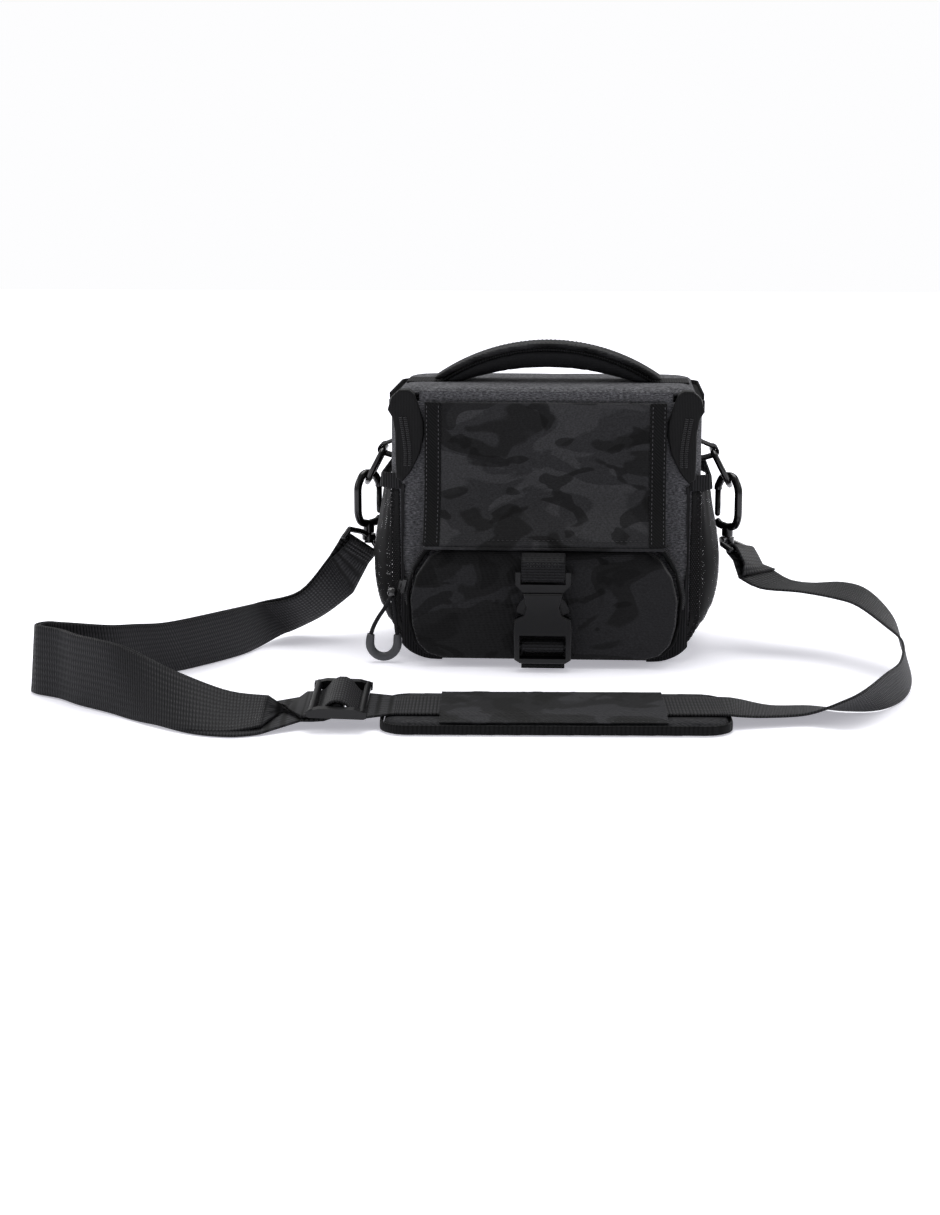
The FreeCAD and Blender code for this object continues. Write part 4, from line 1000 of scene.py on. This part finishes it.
def smooth_rows(rows, step):
    """Even rows along the smooth line through the rows of two edges."""
    out, ends = [], [rows[0]] + list(rows) + [rows[-1]]
    for i in range(1, len(ends) - 2):
        b, c = ends[i:i + 2]
        gap = math.dist([(b[k] + b[k + 3]) / 2 for k in range(3)], [(c[k] + c[k + 3]) / 2 for k in range(3)])
        count = max(1, round(gap / step))
        out += [between(ends[i - 1:i + 3], j / count) for j in range(count)]
    return out + [list(rows[-1])]


def sections_of(rows):
    """Centre, across and normal of the webbing at each row."""
    mids = [Vector([(r[k] + r[k + 3]) / 2 for k in range(3)]) for r in rows]
    out = []
    for i, r in enumerate(rows):
        across = (Vector(r[3:6]) - Vector(r[0:3])).normalized()
        run = mids[min(i + 1, len(mids) - 1)] - mids[max(i - 1, 0)]
        out.append((mids[i], across, across.cross(run).normalized()))
    return out


def end_loop(first, bar, across, outward):
    """Sections from the run round its end bar, with the direction it leaves in."""
    leave = first[0] - bar
    leave = (leave - across * leave.dot(across)).normalized()
    side = across.cross(leave).normalized()
    if side.dot(outward) < 0:
        side = -side
    sign = 1.0 if first[2].dot(side) > 0 else -1.0
    turn = [(bar + leave * 5.5 + side * 2.5, across, side * sign)]
    for i in range(13):
        t = math.pi * i / 12
        d = side * math.cos(t) - leave * math.sin(t)
        turn.append((bar + d * 3.05, across, d * sign))
    return turn, leave, side, sign


def above_floor(section):
    """The section squared up and lifted until nothing of it is under the table."""
    centre, across, normal = section
    normal = (normal - across * normal.dot(across)).normalized()
    low = centre.z - abs(across.z) * STRAP_W / 2 - abs(normal.z) * WEB_T / 2
    return (centre + Vector((0, 0, max(0.0, 0.25 - low))), across, normal)


hump = [(13.0, -3.6), (9.0, -2.0), (6.6, 0.8), (4.4, 3.6), (1.6, 5.0), (-1.6, 5.0), (-4.4, 3.6),
        (-6.6, 0.8), (-9.0, -2.0), (-13.0, -3.6), (-19.0, -4.0)]
pad_rows = [plain_row(Vector((PAD_AT.x, PAD_AT.y, 7.4)) + PAD_RUN * s, PAD_ACROSS)
            for s in (-84, -60, -30, 0, 30, 60, 88)]
rows = smooth_rows(RIGHT_RUN[::-1] + pad_rows[::-1], 4.0)
rows += [plain_row(adj_point(x, z), ADJ_ACROSS) for x, z in hump]
left_at = len(rows)
rows += smooth_rows(LEFT_RUN[::-1], 4.0)
run = sections_of(rows)
wrap, leave, side, sign = end_loop(run[0], BAR_R, ACROSS_R, Vector((0, 0, -1)))
tail = [(BAR_R + leave * 5.5 - side * 2.5, ACROSS_R, side * -sign),
        (BAR_R + leave * 11 - side * 1.7, ACROSS_R, side * -sign),
        (run[0][0] - side * 1.9 + leave * 1.0, run[0][1], side * -sign)]
start = (wrap + tail)[::-1]
wrap, leave, side, sign = end_loop(run[-1], BAR_L, ACROSS_L, Vector((-1, 0, 0.3)))
inner = [(BAR_L + leave * 5.5 - side * 2.5, ACROSS_L, side * -sign)]
for centre, across, normal in run[left_at:][::-1]:
    ease = max(0.0, min(1.0, (centre.x + 200) / 45)) * (1 if centre.y < -150 else 0)
    inner.append((centre - normal * sign * 2.15 - across * (4.5 * ease), across, normal * -sign))
knee = [(adj_point(x, z), -ADJ_ACROSS, ADJ_UP) for x, z in
        ((-19.0, -6.4), (-13.0, -6.2), (-7.0, -5.6), (-3.2, -4.2))]
loop = []
for degrees in range(-90, 191, 14):
    d = ADJ_RUN * math.cos(math.radians(degrees)) + ADJ_UP * math.sin(math.radians(degrees))
    loop.append((ADJ_AT + d * 2.65, -ADJ_ACROSS, -d))
turn_up = 1.0 if inner[-1][2].dot(ADJ_UP) > 0 else -1.0
flip = 1.0 if inner[-1][1].dot(-ADJ_ACROSS) > 0 else -1.0
end = [(c, a * flip, n * turn_up) for c, a, n in knee + loop]
sections = [above_floor(s) for s in start + run + wrap + inner + end]
strap = piece("shoulder_webbing", band(sections, STRAP_W, WEB_T), wide_webbing, "bag", "webbing",
              "strap_webbing")


# ---- shoulder pad ----------------------------------------------------------------------------
# A flat foam pad in grey cloth, its edge bound with twill tape, and a camouflage sleeve sewn
# over it that the webbing slides through.
def on_pad(x, y, z):
    return PAD_AT + PAD_RUN * x + PAD_ACROSS * y + Vector((0, 0, z))


pad_cloth = heather("grey_pad_cloth", "#19191b", "#262628", "#343436")
pad = piece("pad_core", puffed(soft_copy("shoulder_pad", 2.6, 2), 2.0, 0.35, 0.05), pad_cloth,
            "shoulder_pad", "pad_fabric", "shoulder_pad")
edge_twill = ribbed("twill_edge_binding", "#0f0f10", 0.0014, 0.15, 0.65, 50)
softened("pad_edge", "pad_binding", 0.62, 4, edge_twill, "shoulder_pad", "twill_tape")
SLEEVE = [(-32.8, 6.55), (-29.5, 6.65), (-26.0, 7.2), (-21.0, 8.95), (-10.0, 9.1), (0.0, 9.1),
          (10.0, 9.1), (21.0, 8.95), (26.0, 7.2), (29.5, 6.65), (32.8, 6.55)]
SLEEVE_HALF, SLEEVE_LEFT, SLEEVE_LONG, SLEEVE_STEPS = 32.8, -60.0, 117.0, 60
sleeve_line = spline([Vector((0, y, z)) for y, z in SLEEVE], SLEEVE_STEPS)


def sleeve_at(u, v):
    at = sleeve_line[round(v * SLEEVE_STEPS)]
    x = SLEEVE_LEFT + SLEEVE_LONG * u
    loose = min(1.0, (SLEEVE_HALF - abs(at.y)) / 8.0)
    pucker = 0.45 * noise.noise(Vector((x / 9.0, at.y / 16.0, 1.7))) + 0.25 * noise.noise(
        Vector((x / 4.0, at.y / 9.0, 5.2)))
    return on_pad(x, at.y, at.z + loose * (0.35 + pucker))


sleeve = piece("pad_cover", patch(120, SLEEVE_STEPS, sleeve_at, (SLEEVE_LONG, 68)), pad_camouflage,
               "shoulder_pad", "camo_fabric", "pad_sleeve")
thickness(sleeve, 0.8, 0.0, 0.25)
stitches("pad_seam", [[on_pad(x, y, 7.1) for x in range(-58, 56, 3)] for y in (-31.4, 31.4)], "shoulder_pad",
         "camo_fabric", thread_black)
